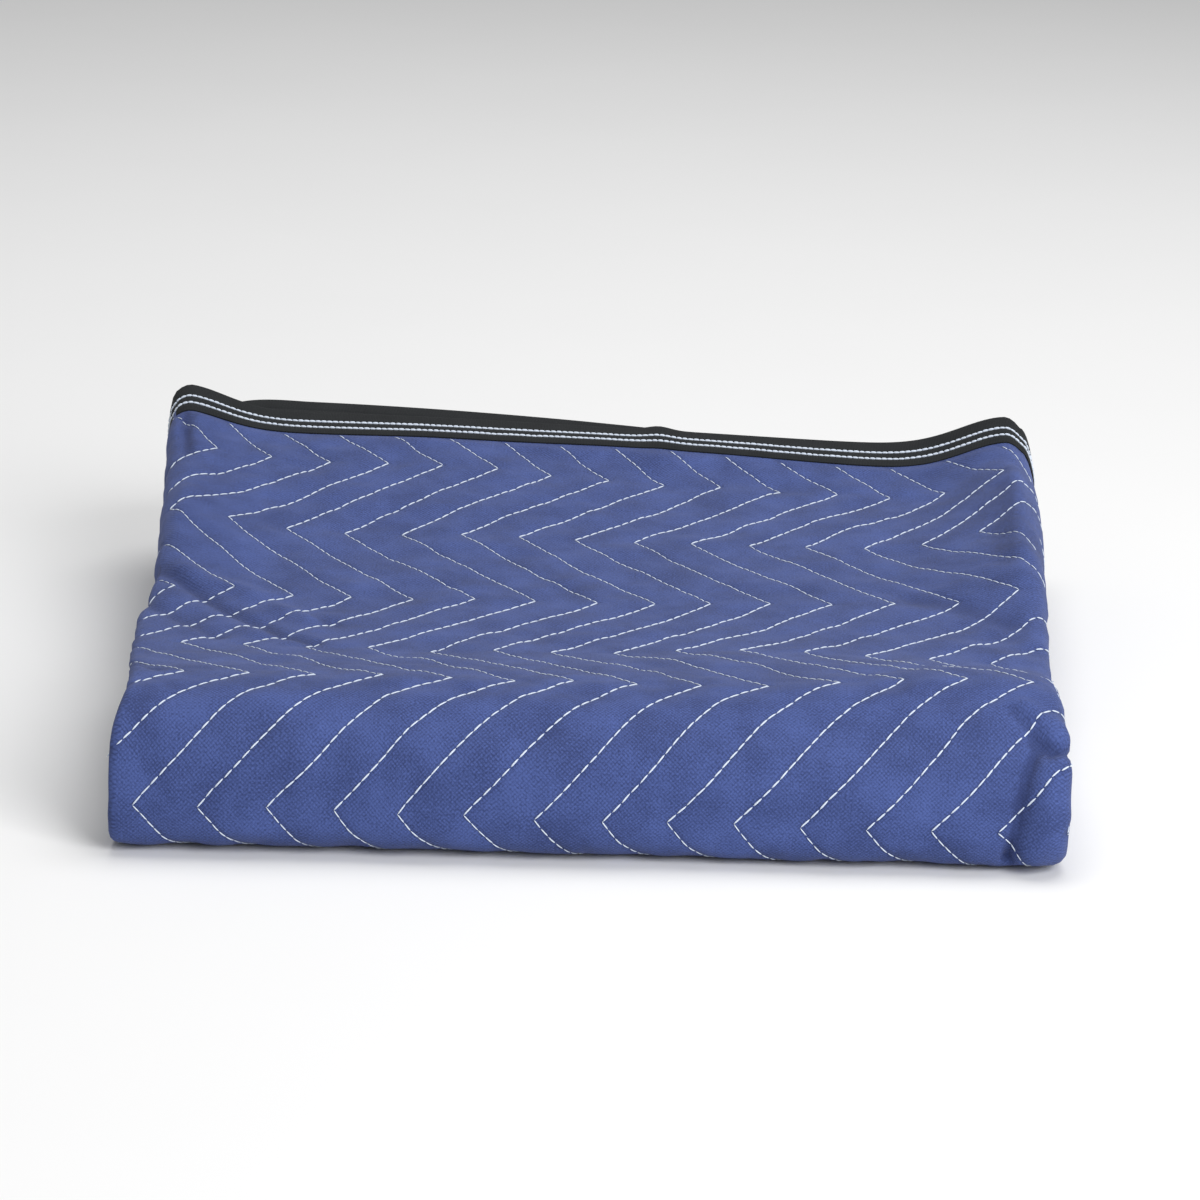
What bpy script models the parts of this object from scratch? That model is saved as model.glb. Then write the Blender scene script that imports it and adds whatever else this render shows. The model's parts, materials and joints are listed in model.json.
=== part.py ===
"""A quilted moving blanket, folded twice in each direction, lying flat on its lower face.

The cloth is one sheet. It is first folded lengthwise into a strip of four layers, then that
strip is folded crosswise into four runs, which makes sixteen layers. Both folds are described
by the same class, FoldPath: straight stretches joined by round half-turns. The folded stack is
then settled: pressed thin behind the front roll, left high along the bound back edge.

Frame: +X to the right along the front roll, +Y from the front roll to the bound edge, +Z up.
The origin is the middle of the underside. Sizes below are in millimetres unless named otherwise.
"""

from collections import namedtuple
from math import atan2, cos, exp, hypot, pi, sin

import bmesh
import bpy
from mathutils import Matrix, Vector

MM = 0.001

# ---------------------------------------------------------------- driving sizes
FOLDED_WIDTH = 457.0        # a quarter of the 72 in cloth width
FOLDED_DEPTH = 503.0        # a quarter of the 80 in cloth length, with its rolls
CLOTH_THICKNESS = 3.3       # two faces and the filling between them
LAYER_PITCH = 4.3           # one layer to the next inside the strip
RUN_GAP = 2.0               # between two runs of the strip
LAYERS = 4                  # layers in the strip, and runs of the strip
LOWER_EDGE_INSET = 5.0      # of the lower bound edge from the top one

STRIP_THICKNESS = (LAYERS - 1) * LAYER_PITCH + CLOTH_THICKNESS
STACK_HEIGHT = LAYERS * STRIP_THICKNESS + (LAYERS - 1) * RUN_GAP
ROLL_RADIUS = STACK_HEIGHT / 2
FRONT_FOLD_Y = ROLL_RADIUS
BACK_FOLD_RADIUS = STRIP_THICKNESS + RUN_GAP / 2
BACK_FOLD_Y = FOLDED_DEPTH - BACK_FOLD_RADIUS
LOWER_EDGE_Y = FOLDED_DEPTH - LOWER_EDGE_INSET
WIDE_FOLD_RADIUS = 1.5 * LAYER_PITCH
TIGHT_FOLD_RADIUS = 0.5 * LAYER_PITCH
RIGHT_FOLD_X = FOLDED_WIDTH / 2 - WIDE_FOLD_RADIUS - CLOTH_THICKNESS / 2
LEFT_FOLD_X = -FOLDED_WIDTH / 2 + TIGHT_FOLD_RADIUS + CLOTH_THICKNESS / 2

# ---------------------------------------------------------------- binding tape
TAPE_WIDTH = 30.0
TAPE_THICKNESS = 0.6
TAPE_CLEARANCE = 0.4
BOUND_THICKNESS = 1.9       # the cloth, pressed where the tape is sewn on
BOUND_WIDTH = TAPE_WIDTH + 0.5
BOUND_RAMP = 6.0            # over which the cloth swells to its full thickness again
SIDE_EDGE_INSET = 12.0      # of the free side edges from the left fold

# ---------------------------------------------------------------- quilting
STITCH_SPACING = 31.5       # between two chevron lines, across
CHEVRON_STEPS = 5           # half spacings from a left point to a right point
CHEVRON_REACH = 92.5        # from a left point to a right point, along
FIRST_RIGHT_POINT = 71.0    # from the bound edge to the first row of right points
STITCH_OFFSET_X = 13.4      # of a line near the middle, followed back to the bound edge
STITCH_DRIFT = -0.047       # how far the lines drift to the left for each mm along the cloth
QUILT_CREST = 2.4           # of the puffs between the lines
QUILT_FADE_HEIGHT = 9.0     # above the underside, where the puffs are pressed flat
COLUMN_PITCH = STITCH_SPACING / 2
ROW_PITCH = CHEVRON_REACH / CHEVRON_STEPS

# ---------------------------------------------------------------- how the stack has settled
ROLL_SQUARENESS = 2.35      # 2 is a round front roll, more is a squarer one
ROLL_LEAN = 0.38            # how far the roll's foot runs forward, for each mm of height
ROLL_LEAN_REACH = 90.0

# Height of the pressed stack at its left and right side; it is even between them.
Height = namedtuple("Height", "y left right")
PRESSED_HEIGHTS = (
    Height(-40.0, 70.0, 63.5),
    Height(20.0, 69.5, 57.5),
    Height(60.0, 70.5, 68.0),
    Height(105.0, 63.0, 63.0),
    Height(155.0, 56.5, 52.5),
    Height(248.0, 53.0, 58.5),
    Height(340.0, 62.5, 61.0),
    Height(432.0, 77.5, 63.0),
    Height(500.0, 88.0, 76.5),
    Height(560.0, 95.5, 88.5),
)

# Where the outermost layer stands off the next one, because its side folds spring open.
Lift = namedtuple("Lift", "place x y reach_x reach_y height")
LIFTS = (
    Lift("left back corner", -238.0, 510.0, 34.0, 100.0, 12.0),
    Lift("right back corner", 240.0, 505.0, 40.0, 70.0, 17.0),
    Lift("left half of the back", -100.0, 430.0, 110.0, 110.0, 4.0),
    Lift("left margin", -230.0, 320.0, 45.0, 80.0, 16.0),
    Lift("back half of the right margin", 240.0, 400.0, 38.0, 60.0, 23.0),
    Lift("front half of the right margin", 238.0, 295.0, 42.0, 70.0, 22.0),
    Lift("right end of the roll", 190.0, 70.0, 60.0, 45.0, 8.0),
    Lift("ridge across the valley", 105.0, 145.0, 105.0, 50.0, 7.5),
)
LIFT_END = 0.8              # share of the front roll where the last of the lift is gone
SHOULDER_REACH = 10.0       # over which a lifted layer rounds down to its side fold
SHOULDER_DROP = 0.3         # share of the lift that it loses there

# How far the two side folds stand outside their straight lines, along the strip:
# 0 is the top bound edge, and each whole number is the end of a stretch.
Flare = namedtuple("Flare", "station left right")
SIDE_FLARE = (
    Flare(0.00, 17.0, 25.0),
    Flare(0.18, 11.0, 22.0),
    Flare(0.36, 7.0, 17.0),
    Flare(0.56, 1.5, 9.0),
    Flare(0.75, 0.5, 4.0),
    Flare(1.00, 0.0, 0.0),
    Flare(2.00, -1.0, -1.0),
    Flare(2.60, 1.0, -2.0),
    Flare(3.00, 3.0, 1.0),
    Flare(4.00, 4.0, 2.0),
    Flare(4.50, -1.0, -4.0),
    Flare(5.00, -2.0, -2.0),
    Flare(6.00, -2.0, -2.0),
    Flare(6.50, -3.0, 1.0),
    Flare(7.00, 3.0, 9.0),
)

# How far each layer's bound edge stands out behind the top one, along the folded section:
# 0 is the outer side edge, and each whole number is the end of a stretch.
Stagger = namedtuple("Stagger", "station top lower")
EDGE_STAGGER = (
    Stagger(0.0, 14.0, 3.0),
    Stagger(0.5, 7.0, 8.0),
    Stagger(0.9, 0.5, 1.0),
    Stagger(1.0, 0.0, 0.0),
    Stagger(2.0, 0.0, 0.0),
    Stagger(3.0, 0.0, 0.0),
    Stagger(4.0, 3.0, 1.0),
    Stagger(4.08, 34.0, 4.0),
    Stagger(4.16, 36.0, 5.0),
    Stagger(4.3, 33.0, 6.0),
    Stagger(4.45, 26.0, 7.0),
    Stagger(4.6, 16.0, 7.0),
    Stagger(4.8, 4.0, 2.0),
    Stagger(5.0, 0.0, 0.0),
    Stagger(6.0, 0.0, 0.0),
    Stagger(6.3, -2.0, 2.0),
    Stagger(7.0, 4.0, -4.0),
)

# ---------------------------------------------------------------- mesh stations
TOP_LAYER_SHARES = (0.0, 0.05, 0.12, 0.2, 0.3, 0.45, 0.6, 0.74, 0.86, 0.94, 1.0)
SECOND_LAYER_SHARES = (0.0, 0.08, 0.3, 0.65, 1.0)
INNER_LAYER_SHARES = (0.0, 0.3, 0.65, 1.0)
HALF_TURN_STEPS = 4
LOWER_RUN_YS = (70.0, 112.0, 150.0, 190.0, 240.0, 300.0, 375.0, 445.0)
QUILT_ROWS = range(-1, 28)
MERGE_DISTANCE = 1e-6       # metres

# ---------------------------------------------------------------- colours
CLOTH_BLUE = (0.065, 0.095, 0.30)
TAPE_CHARCOAL = (0.03, 0.035, 0.04)

Stretch = namedtuple("Stretch", "length radius turn")
Row = namedtuple("Row", "stretch along from_end quilt_row")
Column = namedtuple("Column", "stretch along from_edge lattice")

TOP_RUN, FRONT_ROLL, BOTTOM_RUN, BACK_FOLD, UPPER_RUN, INNER_ROLL, LOWER_RUN = range(7)
OUTER_EDGE, WIDE_FOLD, TOP_LAYER, LEFT_FOLD, SECOND_LAYER, INNER_FOLD, INNER_EDGE = range(7)


def line(length):
    return Stretch(length, 0.0, 0)


def half_turn(radius, turn):
    """A fold: turn is +1 to the left of the heading and -1 to the right."""
    return Stretch(pi * radius, radius, turn)


class FoldPath:
    """A folded line in a plane, as straight stretches joined by half-turns."""

    def __init__(self, start, heading, stretches):
        self.stretches = stretches
        self.starts = []
        point = Vector(start)
        heading = Vector(heading)
        for stretch in stretches:
            self.starts.append((point, heading))
            left = Vector((-heading.y, heading.x))
            if stretch.turn:
                point = point + left * (2 * stretch.radius * stretch.turn)
                heading = -heading
            else:
                point = point + heading * stretch.length

    def at(self, index, along, offset):
        """The point this share along a stretch, this far to the left of it."""
        stretch = self.stretches[index]
        start, heading = self.starts[index]
        left = Vector((-heading.y, heading.x))
        if not stretch.turn:
            return start + heading * (along * stretch.length) + left * offset
        centre = start + left * (stretch.radius * stretch.turn)
        reach = stretch.radius - stretch.turn * offset
        angle = pi * along
        return centre - left * (stretch.turn * reach * cos(angle)) + heading * (reach * sin(angle))


def curve_through(table, place, column):
    """A smooth curve through a table's rows, at a place along its first column."""
    places = [row[0] for row in table]
    values = [getattr(row, column) for row in table]
    if place <= places[0]:
        return values[0]
    if place >= places[-1]:
        return values[-1]
    i = max(k for k, known in enumerate(places) if known <= place)
    span = places[i + 1] - places[i]
    rise = (values[i + 1] - values[i]) / span
    before = rise if i == 0 else (values[i + 1] - values[i - 1]) / (places[i + 1] - places[i - 1])
    last = i + 2 == len(places)
    after = rise if last else (values[i + 2] - values[i]) / (places[i + 2] - places[i])
    t = (place - places[i]) / span
    blend = t * t * (3 - 2 * t)
    bend = span * t * (1 - t) * (before * (1 - t) - after * t)
    return values[i] + (values[i + 1] - values[i]) * blend + bend


def smooth_step(value):
    t = min(max(value, 0.0), 1.0)
    return t * t * (3 - 2 * t)


# ---------------------------------------------------------------- the crosswise folds
TOP_RUN_LENGTH = FOLDED_DEPTH - FRONT_FOLD_Y
LOWER_RUN_LENGTH = BACK_FOLD_Y - FRONT_FOLD_Y

STRIP_PATH = FoldPath(
    (FOLDED_DEPTH, STACK_HEIGHT),
    (-1.0, 0.0),
    (
        line(TOP_RUN_LENGTH),
        half_turn(ROLL_RADIUS, 1),
        line(LOWER_RUN_LENGTH),
        half_turn(BACK_FOLD_RADIUS, 1),
        line(LOWER_RUN_LENGTH),
        half_turn(RUN_GAP / 2, -1),
        line(LOWER_EDGE_Y - FRONT_FOLD_Y),
    ),
)


# ---------------------------------------------------------------- the lengthwise folds
def section_path(station):
    """The folded section of the strip at a station along it, as a line in (x, depth)."""
    left_flare = curve_through(SIDE_FLARE, station, "left")
    right_flare = curve_through(SIDE_FLARE, station, "right")
    left = LEFT_FOLD_X - left_flare
    right = RIGHT_FOLD_X + right_flare
    width = right - left
    outer_edge = -FOLDED_WIDTH / 2 + SIDE_EDGE_INSET + 2 * right_flare
    inner_edge = outer_edge + 2 * left_flare
    depth = (LAYERS - 1) * LAYER_PITCH + CLOTH_THICKNESS / 2
    return FoldPath(
        (outer_edge, depth),
        (1.0, 0.0),
        (
            line(right - outer_edge),
            half_turn(WIDE_FOLD_RADIUS, -1),
            line(width),
            half_turn(TIGHT_FOLD_RADIUS, -1),
            line(width),
            half_turn(TIGHT_FOLD_RADIUS, 1),
            line(right - inner_edge),
        ),
    )


def settle(x, y, z):
    """Moves a point of the evenly folded stack to where the pressed stack has it."""
    if y < FRONT_FOLD_Y:
        forward = FRONT_FOLD_Y - y
        upward = z - ROLL_RADIUS
        angle = atan2(upward, forward)
        powers = abs(cos(angle)) ** ROLL_SQUARENESS + abs(sin(angle)) ** ROLL_SQUARENESS
        squared = powers ** (-1 / ROLL_SQUARENESS)
        y = FRONT_FOLD_Y - forward * squared
        z = ROLL_RADIUS + upward * squared
    leaning = smooth_step((ROLL_LEAN_REACH - y) / ROLL_LEAN_REACH)
    y -= ROLL_LEAN * (ROLL_RADIUS - z) * leaning
    left = curve_through(PRESSED_HEIGHTS, y, "left")
    right = curve_through(PRESSED_HEIGHTS, y, "right")
    z *= (left + (right - left) * (x / FOLDED_WIDTH + 0.5)) / STACK_HEIGHT
    return Vector((x, y, max(z, 0.0)))


def lift_at(row, station, x, y, folds):
    """How far the outermost layer stands off at a point, with its side folds opening to suit."""
    opened = smooth_step(2 * (station - WIDE_FOLD) - 1)
    opened *= 1 - smooth_step(2 * (station - LEFT_FOLD))
    if row.stretch == FRONT_ROLL:
        opened *= 1 - smooth_step(row.along / LIFT_END)
    if row.stretch > FRONT_ROLL or opened == 0.0:
        return 0.0
    inside = min(max(x - folds[0], 0.0), max(folds[1] - x, 0.0), SHOULDER_REACH)
    opened *= 1 - SHOULDER_DROP * (1 - inside / SHOULDER_REACH) ** 2
    height = 0.0
    for lift in LIFTS:
        off_centre = hypot((x - lift.x) / lift.reach_x, (y - lift.y) / lift.reach_y)
        height += lift.height * exp(-off_centre ** 2)
    return height * opened


def share_along(section, column):
    """How far along its stretch of the section a column stands."""
    if column.from_edge is None:
        return column.along
    share = column.from_edge / section.stretches[column.stretch].length
    return share if column.stretch == OUTER_EDGE else 1 - share


def place(row, column, outward):
    """A point of the sheet, this far to the outer side of its middle, in its folded place."""
    section = section_path(row.stretch + min(max(row.along, 0.0), 1.0))
    share = share_along(section, column)
    across = section.at(column.stretch, share, outward)
    along = row.along
    if row.from_end is not None:
        end = "top" if row.stretch < BOTTOM_RUN else "lower"
        stagger = curve_through(EDGE_STAGGER, column.stretch + share, end)
        shift = stagger * (1 - smooth_step(row.from_end / TOP_RUN_LENGTH))
        shift /= STRIP_PATH.stretches[row.stretch].length
        along += -shift if end == "top" else shift
    flat = STRIP_PATH.at(row.stretch, along, across.y)
    folds = (section.at(LEFT_FOLD, 0.0, 0.0).x, section.at(TOP_LAYER, 0.0, 0.0).x)
    lift = lift_at(row, column.stretch + share, across.x, flat.x, folds)
    lifted = STRIP_PATH.at(row.stretch, along, across.y - lift)
    return settle(across.x, lifted.x, lifted.y)


def thickness_at(row, column):
    """The cloth's thickness: full, but pressed thin under the tape along every edge."""
    margins = [far for far in (row.from_end, column.from_edge) if far is not None]
    swell = smooth_step((min(margins, default=FOLDED_WIDTH) - BOUND_WIDTH) / BOUND_RAMP)
    return BOUND_THICKNESS + (CLOTH_THICKNESS - BOUND_THICKNESS) * swell


# ---------------------------------------------------------------- rows and columns of the sheet
BOUND_MARGINS = (0.0, BOUND_WIDTH, BOUND_WIDTH + BOUND_RAMP)
LOWER_EDGE_LENGTH = STRIP_PATH.stretches[LOWER_RUN].length
DRIFT_LENGTH = TOP_RUN_LENGTH + STRIP_PATH.stretches[FRONT_ROLL].length  # of the seen cloth


def top_row(from_end, quilt_row=None):
    """A row of the top run or the front roll, by its distance from the top bound edge."""
    if from_end < TOP_RUN_LENGTH:
        return Row(TOP_RUN, from_end / TOP_RUN_LENGTH, from_end, quilt_row)
    along = (from_end - TOP_RUN_LENGTH) / STRIP_PATH.stretches[FRONT_ROLL].length
    return Row(FRONT_ROLL, along, None, quilt_row)


def lower_row(from_end):
    """A row of the run that ends at the lower bound edge, by its distance from that edge."""
    return Row(LOWER_RUN, 1 - from_end / LOWER_EDGE_LENGTH, from_end, None)


def inner_rows(stretch):
    """Rows of a run between two folds, straight below those of the other runs."""
    shares = [(y - FRONT_FOLD_Y) / LOWER_RUN_LENGTH for y in LOWER_RUN_YS]
    if stretch == UPPER_RUN:
        shares = [1 - share for share in reversed(shares)]
    return [Row(stretch, share, None, None) for share in shares]


def fold_rows(stretch):
    steps = range(HALF_TURN_STEPS + 1)
    return [Row(stretch, step / HALF_TURN_STEPS, None, None) for step in steps]


def sheet_rows():
    """Every row of the sheet, from the top bound edge to the lower one."""
    rows = [top_row(margin) for margin in BOUND_MARGINS]
    for number in QUILT_ROWS:
        rows.append(top_row(FIRST_RIGHT_POINT + number * ROW_PITCH, number))
    rows.append(Row(FRONT_ROLL, 1.0, None, None))
    rows += inner_rows(BOTTOM_RUN)
    rows += fold_rows(BACK_FOLD)
    rows += inner_rows(UPPER_RUN)
    rows += fold_rows(INNER_ROLL)
    rows += [lower_row(LOWER_EDGE_Y - y) for y in LOWER_RUN_YS]
    rows += [lower_row(margin) for margin in reversed(BOUND_MARGINS)]
    return rows


def layer_columns(stretch, shares):
    return [Column(stretch, share, None, None) for share in shares]


def turn_columns(stretch):
    return layer_columns(stretch, [k / HALF_TURN_STEPS for k in range(1, HALF_TURN_STEPS)])


def edge_columns(stretch):
    """Columns along a free side edge: the edge, the tape's rim, and the full thickness."""
    margins = BOUND_MARGINS if stretch == OUTER_EDGE else reversed(BOUND_MARGINS)
    return [Column(stretch, None, margin, None) for margin in margins]


def section_columns():
    """Every column of the sheet, from the outer side edge to the inner one."""
    columns = edge_columns(OUTER_EDGE)
    columns += layer_columns(OUTER_EDGE, INNER_LAYER_SHARES[1:])
    columns += turn_columns(WIDE_FOLD)
    columns += layer_columns(TOP_LAYER, TOP_LAYER_SHARES)
    columns += turn_columns(LEFT_FOLD)
    columns += layer_columns(SECOND_LAYER, SECOND_LAYER_SHARES)
    columns += turn_columns(INNER_FOLD)
    columns += layer_columns(INNER_EDGE, INNER_LAYER_SHARES[:-1])
    columns += edge_columns(INNER_EDGE)
    return columns


def from_top_edge(row):
    """Distance along the flat cloth from the top bound edge to a row."""
    before = sum(stretch.length for stretch in STRIP_PATH.stretches[:row.stretch])
    return before + row.along * STRIP_PATH.stretches[row.stretch].length


def lattice_numbers():
    """Numbers of the half-spacing columns that the chevrons run through, right to left."""
    reach = FOLDED_WIDTH / 2 + SIDE_FLARE[0].right
    last = int((reach - STITCH_OFFSET_X) / COLUMN_PITCH) + 1
    return range(last, -last - 1, -1)


def lattice_column(row, number):
    """The outer face's column of this number: on the lattice, or on the nearest plain one."""
    section = section_path(row.stretch + row.along)
    right = section.at(TOP_LAYER, 0.0, 0.0).x
    width = section.stretches[TOP_LAYER].length
    drift = STITCH_DRIFT * min(from_top_edge(row), DRIFT_LENGTH)
    share = (right - STITCH_OFFSET_X - drift - number * COLUMN_PITCH) / width
    share = min(max(share, 0.0), 1.0)
    if row.quilt_row is None:
        share = min(TOP_LAYER_SHARES, key=lambda known: abs(known - share))
    return Column(TOP_LAYER, share, None, number)


def chevron_shift(quilt_row):
    """How many half spacings the lines stand to the left of their right points."""
    beat = quilt_row % (2 * CHEVRON_STEPS)
    return min(beat, 2 * CHEVRON_STEPS - beat)


def crest_at(row, column):
    """Height of the quilting at a point: nothing on a stitch line, a crest between two."""
    on_fold = column.along in (0.0, 1.0)
    if row.quilt_row is None or on_fold:
        return 0.0
    if (column.lattice + chevron_shift(row.quilt_row)) % 2 == 0:
        return 0.0
    height = STRIP_PATH.at(row.stretch, row.along, 0.0).y
    return QUILT_CREST * smooth_step(height / QUILT_FADE_HEIGHT)


# ---------------------------------------------------------------- meshes
def add_ring(mesh, points):
    return [mesh.verts.new(point * MM) for point in points]


def add_band(mesh, here, there, splits=None):
    """Faces between two rings; a split turns a face's diagonal one way or the other."""
    count = len(here)
    for k in range(count):
        after = (k + 1) % count
        corners = (here[k], here[after], there[after], there[k])
        split = splits[k] if splits else None
        if split is None:
            mesh.faces.new(corners)
        elif split:
            mesh.faces.new((corners[0], corners[1], corners[2]))
            mesh.faces.new((corners[0], corners[2], corners[3]))
        else:
            mesh.faces.new((corners[0], corners[1], corners[3]))
            mesh.faces.new((corners[1], corners[2], corners[3]))


def finish(name, mesh, colour, collection):
    """Merges points that coincide, turns the faces outward and adds the named object."""
    bmesh.ops.remove_doubles(mesh, verts=mesh.verts, dist=MERGE_DISTANCE)
    bmesh.ops.recalc_face_normals(mesh, faces=mesh.faces)
    data = bpy.data.meshes.new(name)
    mesh.to_mesh(data)
    mesh.free()
    material = bpy.data.materials.new(f"{name}_material")
    material.use_nodes = True
    shader = material.node_tree.nodes["Principled BSDF"]
    shader.inputs["Base Color"].default_value = (*colour, 1.0)
    shader.inputs["Roughness"].default_value = 0.9
    shader.inputs["Metallic"].default_value = 0.0
    data.materials.append(material)
    data.shade_smooth()
    piece = bpy.data.objects.new(name, data)
    collection.objects.link(piece)
    return piece


def outer_columns(row, columns):
    """The outer face's columns: the plain ones, with the chevrons' own on the top layer."""
    before = [column for column in columns if column.stretch < TOP_LAYER]
    after = [column for column in columns if column.stretch > TOP_LAYER]
    return before + [lattice_column(row, number) for number in lattice_numbers()] + after


def blanket_ring(row, columns):
    """The closed outline of the folded section at a row."""
    outer = []
    for column in outer_columns(row, columns):
        rise = crest_at(row, column) if column.lattice is not None else 0.0
        outer.append(place(row, column, thickness_at(row, column) / 2 + rise))
    inner = [place(row, column, -thickness_at(row, column) / 2) for column in columns]
    return outer + inner[::-1]


def add_cut_end(mesh, row, columns):
    """Fills the sheet between its two faces at a bound edge."""
    halves = [thickness_at(row, column) / 2 for column in columns]
    outer = add_ring(mesh, [place(row, column, half) for column, half in zip(columns, halves)])
    inner = add_ring(mesh, [place(row, column, -half) for column, half in zip(columns, halves)])
    for k in range(len(columns) - 1):
        mesh.faces.new((outer[k], outer[k + 1], inner[k + 1], inner[k]))


def make_blanket(collection):
    """The quilted sheet with all its folds, as one closed body."""
    rows = sheet_rows()
    columns = section_columns()
    mesh = bmesh.new()
    rings = [add_ring(mesh, blanket_ring(row, columns)) for row in rows]
    on_lattice = [column.lattice is not None for column in outer_columns(rows[0], columns)]
    on_lattice += [False] * len(columns)
    last_band = len(rows) - 2
    for number, (row, here, there) in enumerate(zip(rows, rings, rings[1:])):
        if row.quilt_row is not None:
            leftward = row.quilt_row % (2 * CHEVRON_STEPS) < CHEVRON_STEPS
            splits = [leftward if quilted else None for quilted in on_lattice]
        elif number in (0, last_band):
            splits = [number == last_band] * len(here)
        else:
            splits = None
        add_band(mesh, here, there, splits)
    add_cut_end(mesh, rows[0], columns)
    add_cut_end(mesh, rows[-1], columns)
    return finish("blanket", mesh, CLOTH_BLUE, collection)


# Which way the diagonals turn on each side of the tape's profile, to match the cloth beneath.
TAPE_SPLITS = (True, True, True, None, False, False, False, None)


def tape_profile():
    """The tape's cross-section round an edge, as (distance from the edge, outward)."""
    inner = BOUND_THICKNESS / 2 + TAPE_CLEARANCE
    outer = inner + TAPE_THICKNESS
    lip = -TAPE_CLEARANCE
    back = lip - TAPE_THICKNESS
    return (
        (TAPE_WIDTH, outer), (back, outer), (back, -outer), (TAPE_WIDTH, -outer),
        (TAPE_WIDTH, -inner), (lip, -inner), (lip, inner), (TAPE_WIDTH, inner),
    )


def add_tape(name, rings, collection):
    """A folded tape through rings of its profile, its two ends closed."""
    mesh = bmesh.new()
    loops = [add_ring(mesh, ring) for ring in rings]
    for here, there in zip(loops, loops[1:]):
        add_band(mesh, here, there, TAPE_SPLITS)
    for loop in (loops[0], loops[-1]):
        for corners in ((0, 1, 6, 7), (1, 2, 5, 6), (2, 3, 4, 5)):
            mesh.faces.new([loop[corner] for corner in corners])
    return finish(name, mesh, TAPE_CHARCOAL, collection)


def make_end_tape(name, row_at, collection):
    """The tape over a bound edge, folded with the sheet's four layers."""
    profile = tape_profile()
    rings = []
    for column in section_columns():
        rings.append([place(row_at(from_end), column, out) for from_end, out in profile])
    return add_tape(name, rings, collection)


def make_side_tape(name, stretch, collection):
    """The tape over a side edge, from one bound edge's tape to the other's."""
    start = TAPE_WIDTH + TAPE_CLEARANCE
    rows = [row for row in sheet_rows() if row.from_end is None or row.from_end > BOUND_WIDTH]
    rows = [top_row(start)] + rows + [lower_row(start)]
    profile = tape_profile()
    rings = []
    for row in rows:
        points = [place(row, Column(stretch, None, margin, None), out) for margin, out in profile]
        rings.append(points)
    return add_tape(name, rings, collection)


def centre_on_base(pieces):
    """Moves the pieces together so that the origin is the middle of their underside."""
    corners = [Vector(corner) for piece in pieces for corner in piece.bound_box]
    lowest = [min(corner[axis] for corner in corners) for axis in range(3)]
    highest = [max(corner[axis] for corner in corners) for axis in range(3)]
    shift = Vector((-(lowest[0] + highest[0]) / 2, -(lowest[1] + highest[1]) / 2, -lowest[2]))
    for piece in pieces:
        piece.data.transform(Matrix.Translation(shift))


def main():
    for existing in list(bpy.data.objects):
        bpy.data.objects.remove(existing, do_unlink=True)
    collection = bpy.data.collections.new("moving_blanket")
    bpy.context.scene.collection.children.link(collection)
    pieces = [
        make_blanket(collection),
        make_end_tape("binding_top_edge", top_row, collection),
        make_end_tape("binding_lower_edge", lower_row, collection),
        make_side_tape("binding_side_outer", OUTER_EDGE, collection),
        make_side_tape("binding_side_inner", INNER_EDGE, collection),
    ]
    centre_on_base(pieces)


main()
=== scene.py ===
"""A folded quilted moving blanket, dressed for a studio picture.

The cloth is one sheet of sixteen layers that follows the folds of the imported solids: first
folded lengthwise into a strip of four layers, then crosswise into four runs. The same folds
carry the binding tape and the sewing thread, so a point is named by its place on the flat
cloth and moved to where the folded stack has it. Sizes are in millimetres until a mesh is
made, and metres from there on.
"""

import json
import logging
import math
from dataclasses import dataclass, field
from enum import Enum, IntEnum
from typing import NamedTuple, Sequence

import bmesh
import bpy
import numpy as np
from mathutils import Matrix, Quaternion, Vector

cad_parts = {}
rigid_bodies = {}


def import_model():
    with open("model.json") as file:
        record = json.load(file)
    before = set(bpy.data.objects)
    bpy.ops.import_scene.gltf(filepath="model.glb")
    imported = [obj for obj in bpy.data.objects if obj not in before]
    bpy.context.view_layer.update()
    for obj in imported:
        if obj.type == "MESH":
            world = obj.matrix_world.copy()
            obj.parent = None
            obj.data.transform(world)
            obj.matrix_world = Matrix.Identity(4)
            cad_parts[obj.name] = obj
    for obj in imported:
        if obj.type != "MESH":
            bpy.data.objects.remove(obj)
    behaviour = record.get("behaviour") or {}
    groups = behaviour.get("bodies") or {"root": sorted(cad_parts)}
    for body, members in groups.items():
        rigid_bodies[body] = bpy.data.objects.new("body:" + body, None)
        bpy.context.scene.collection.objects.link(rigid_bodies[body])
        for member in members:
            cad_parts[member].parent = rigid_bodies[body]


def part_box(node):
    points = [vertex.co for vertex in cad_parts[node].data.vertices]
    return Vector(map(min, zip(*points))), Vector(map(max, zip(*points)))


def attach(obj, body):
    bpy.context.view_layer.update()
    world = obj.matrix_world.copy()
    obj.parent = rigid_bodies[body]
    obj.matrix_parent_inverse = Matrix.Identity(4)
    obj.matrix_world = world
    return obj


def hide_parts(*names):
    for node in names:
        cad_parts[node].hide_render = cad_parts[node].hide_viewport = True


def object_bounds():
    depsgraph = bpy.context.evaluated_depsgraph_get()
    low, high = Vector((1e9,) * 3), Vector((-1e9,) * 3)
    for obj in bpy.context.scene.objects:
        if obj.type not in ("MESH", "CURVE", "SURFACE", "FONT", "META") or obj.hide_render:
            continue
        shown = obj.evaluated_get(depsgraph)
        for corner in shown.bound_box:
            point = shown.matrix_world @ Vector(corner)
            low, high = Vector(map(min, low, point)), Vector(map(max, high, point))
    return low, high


for leftover in list(bpy.data.objects):
    bpy.data.objects.remove(leftover, do_unlink=True)
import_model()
CAD_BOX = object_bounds()

LOG = logging.getLogger("moving_blanket")

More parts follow.
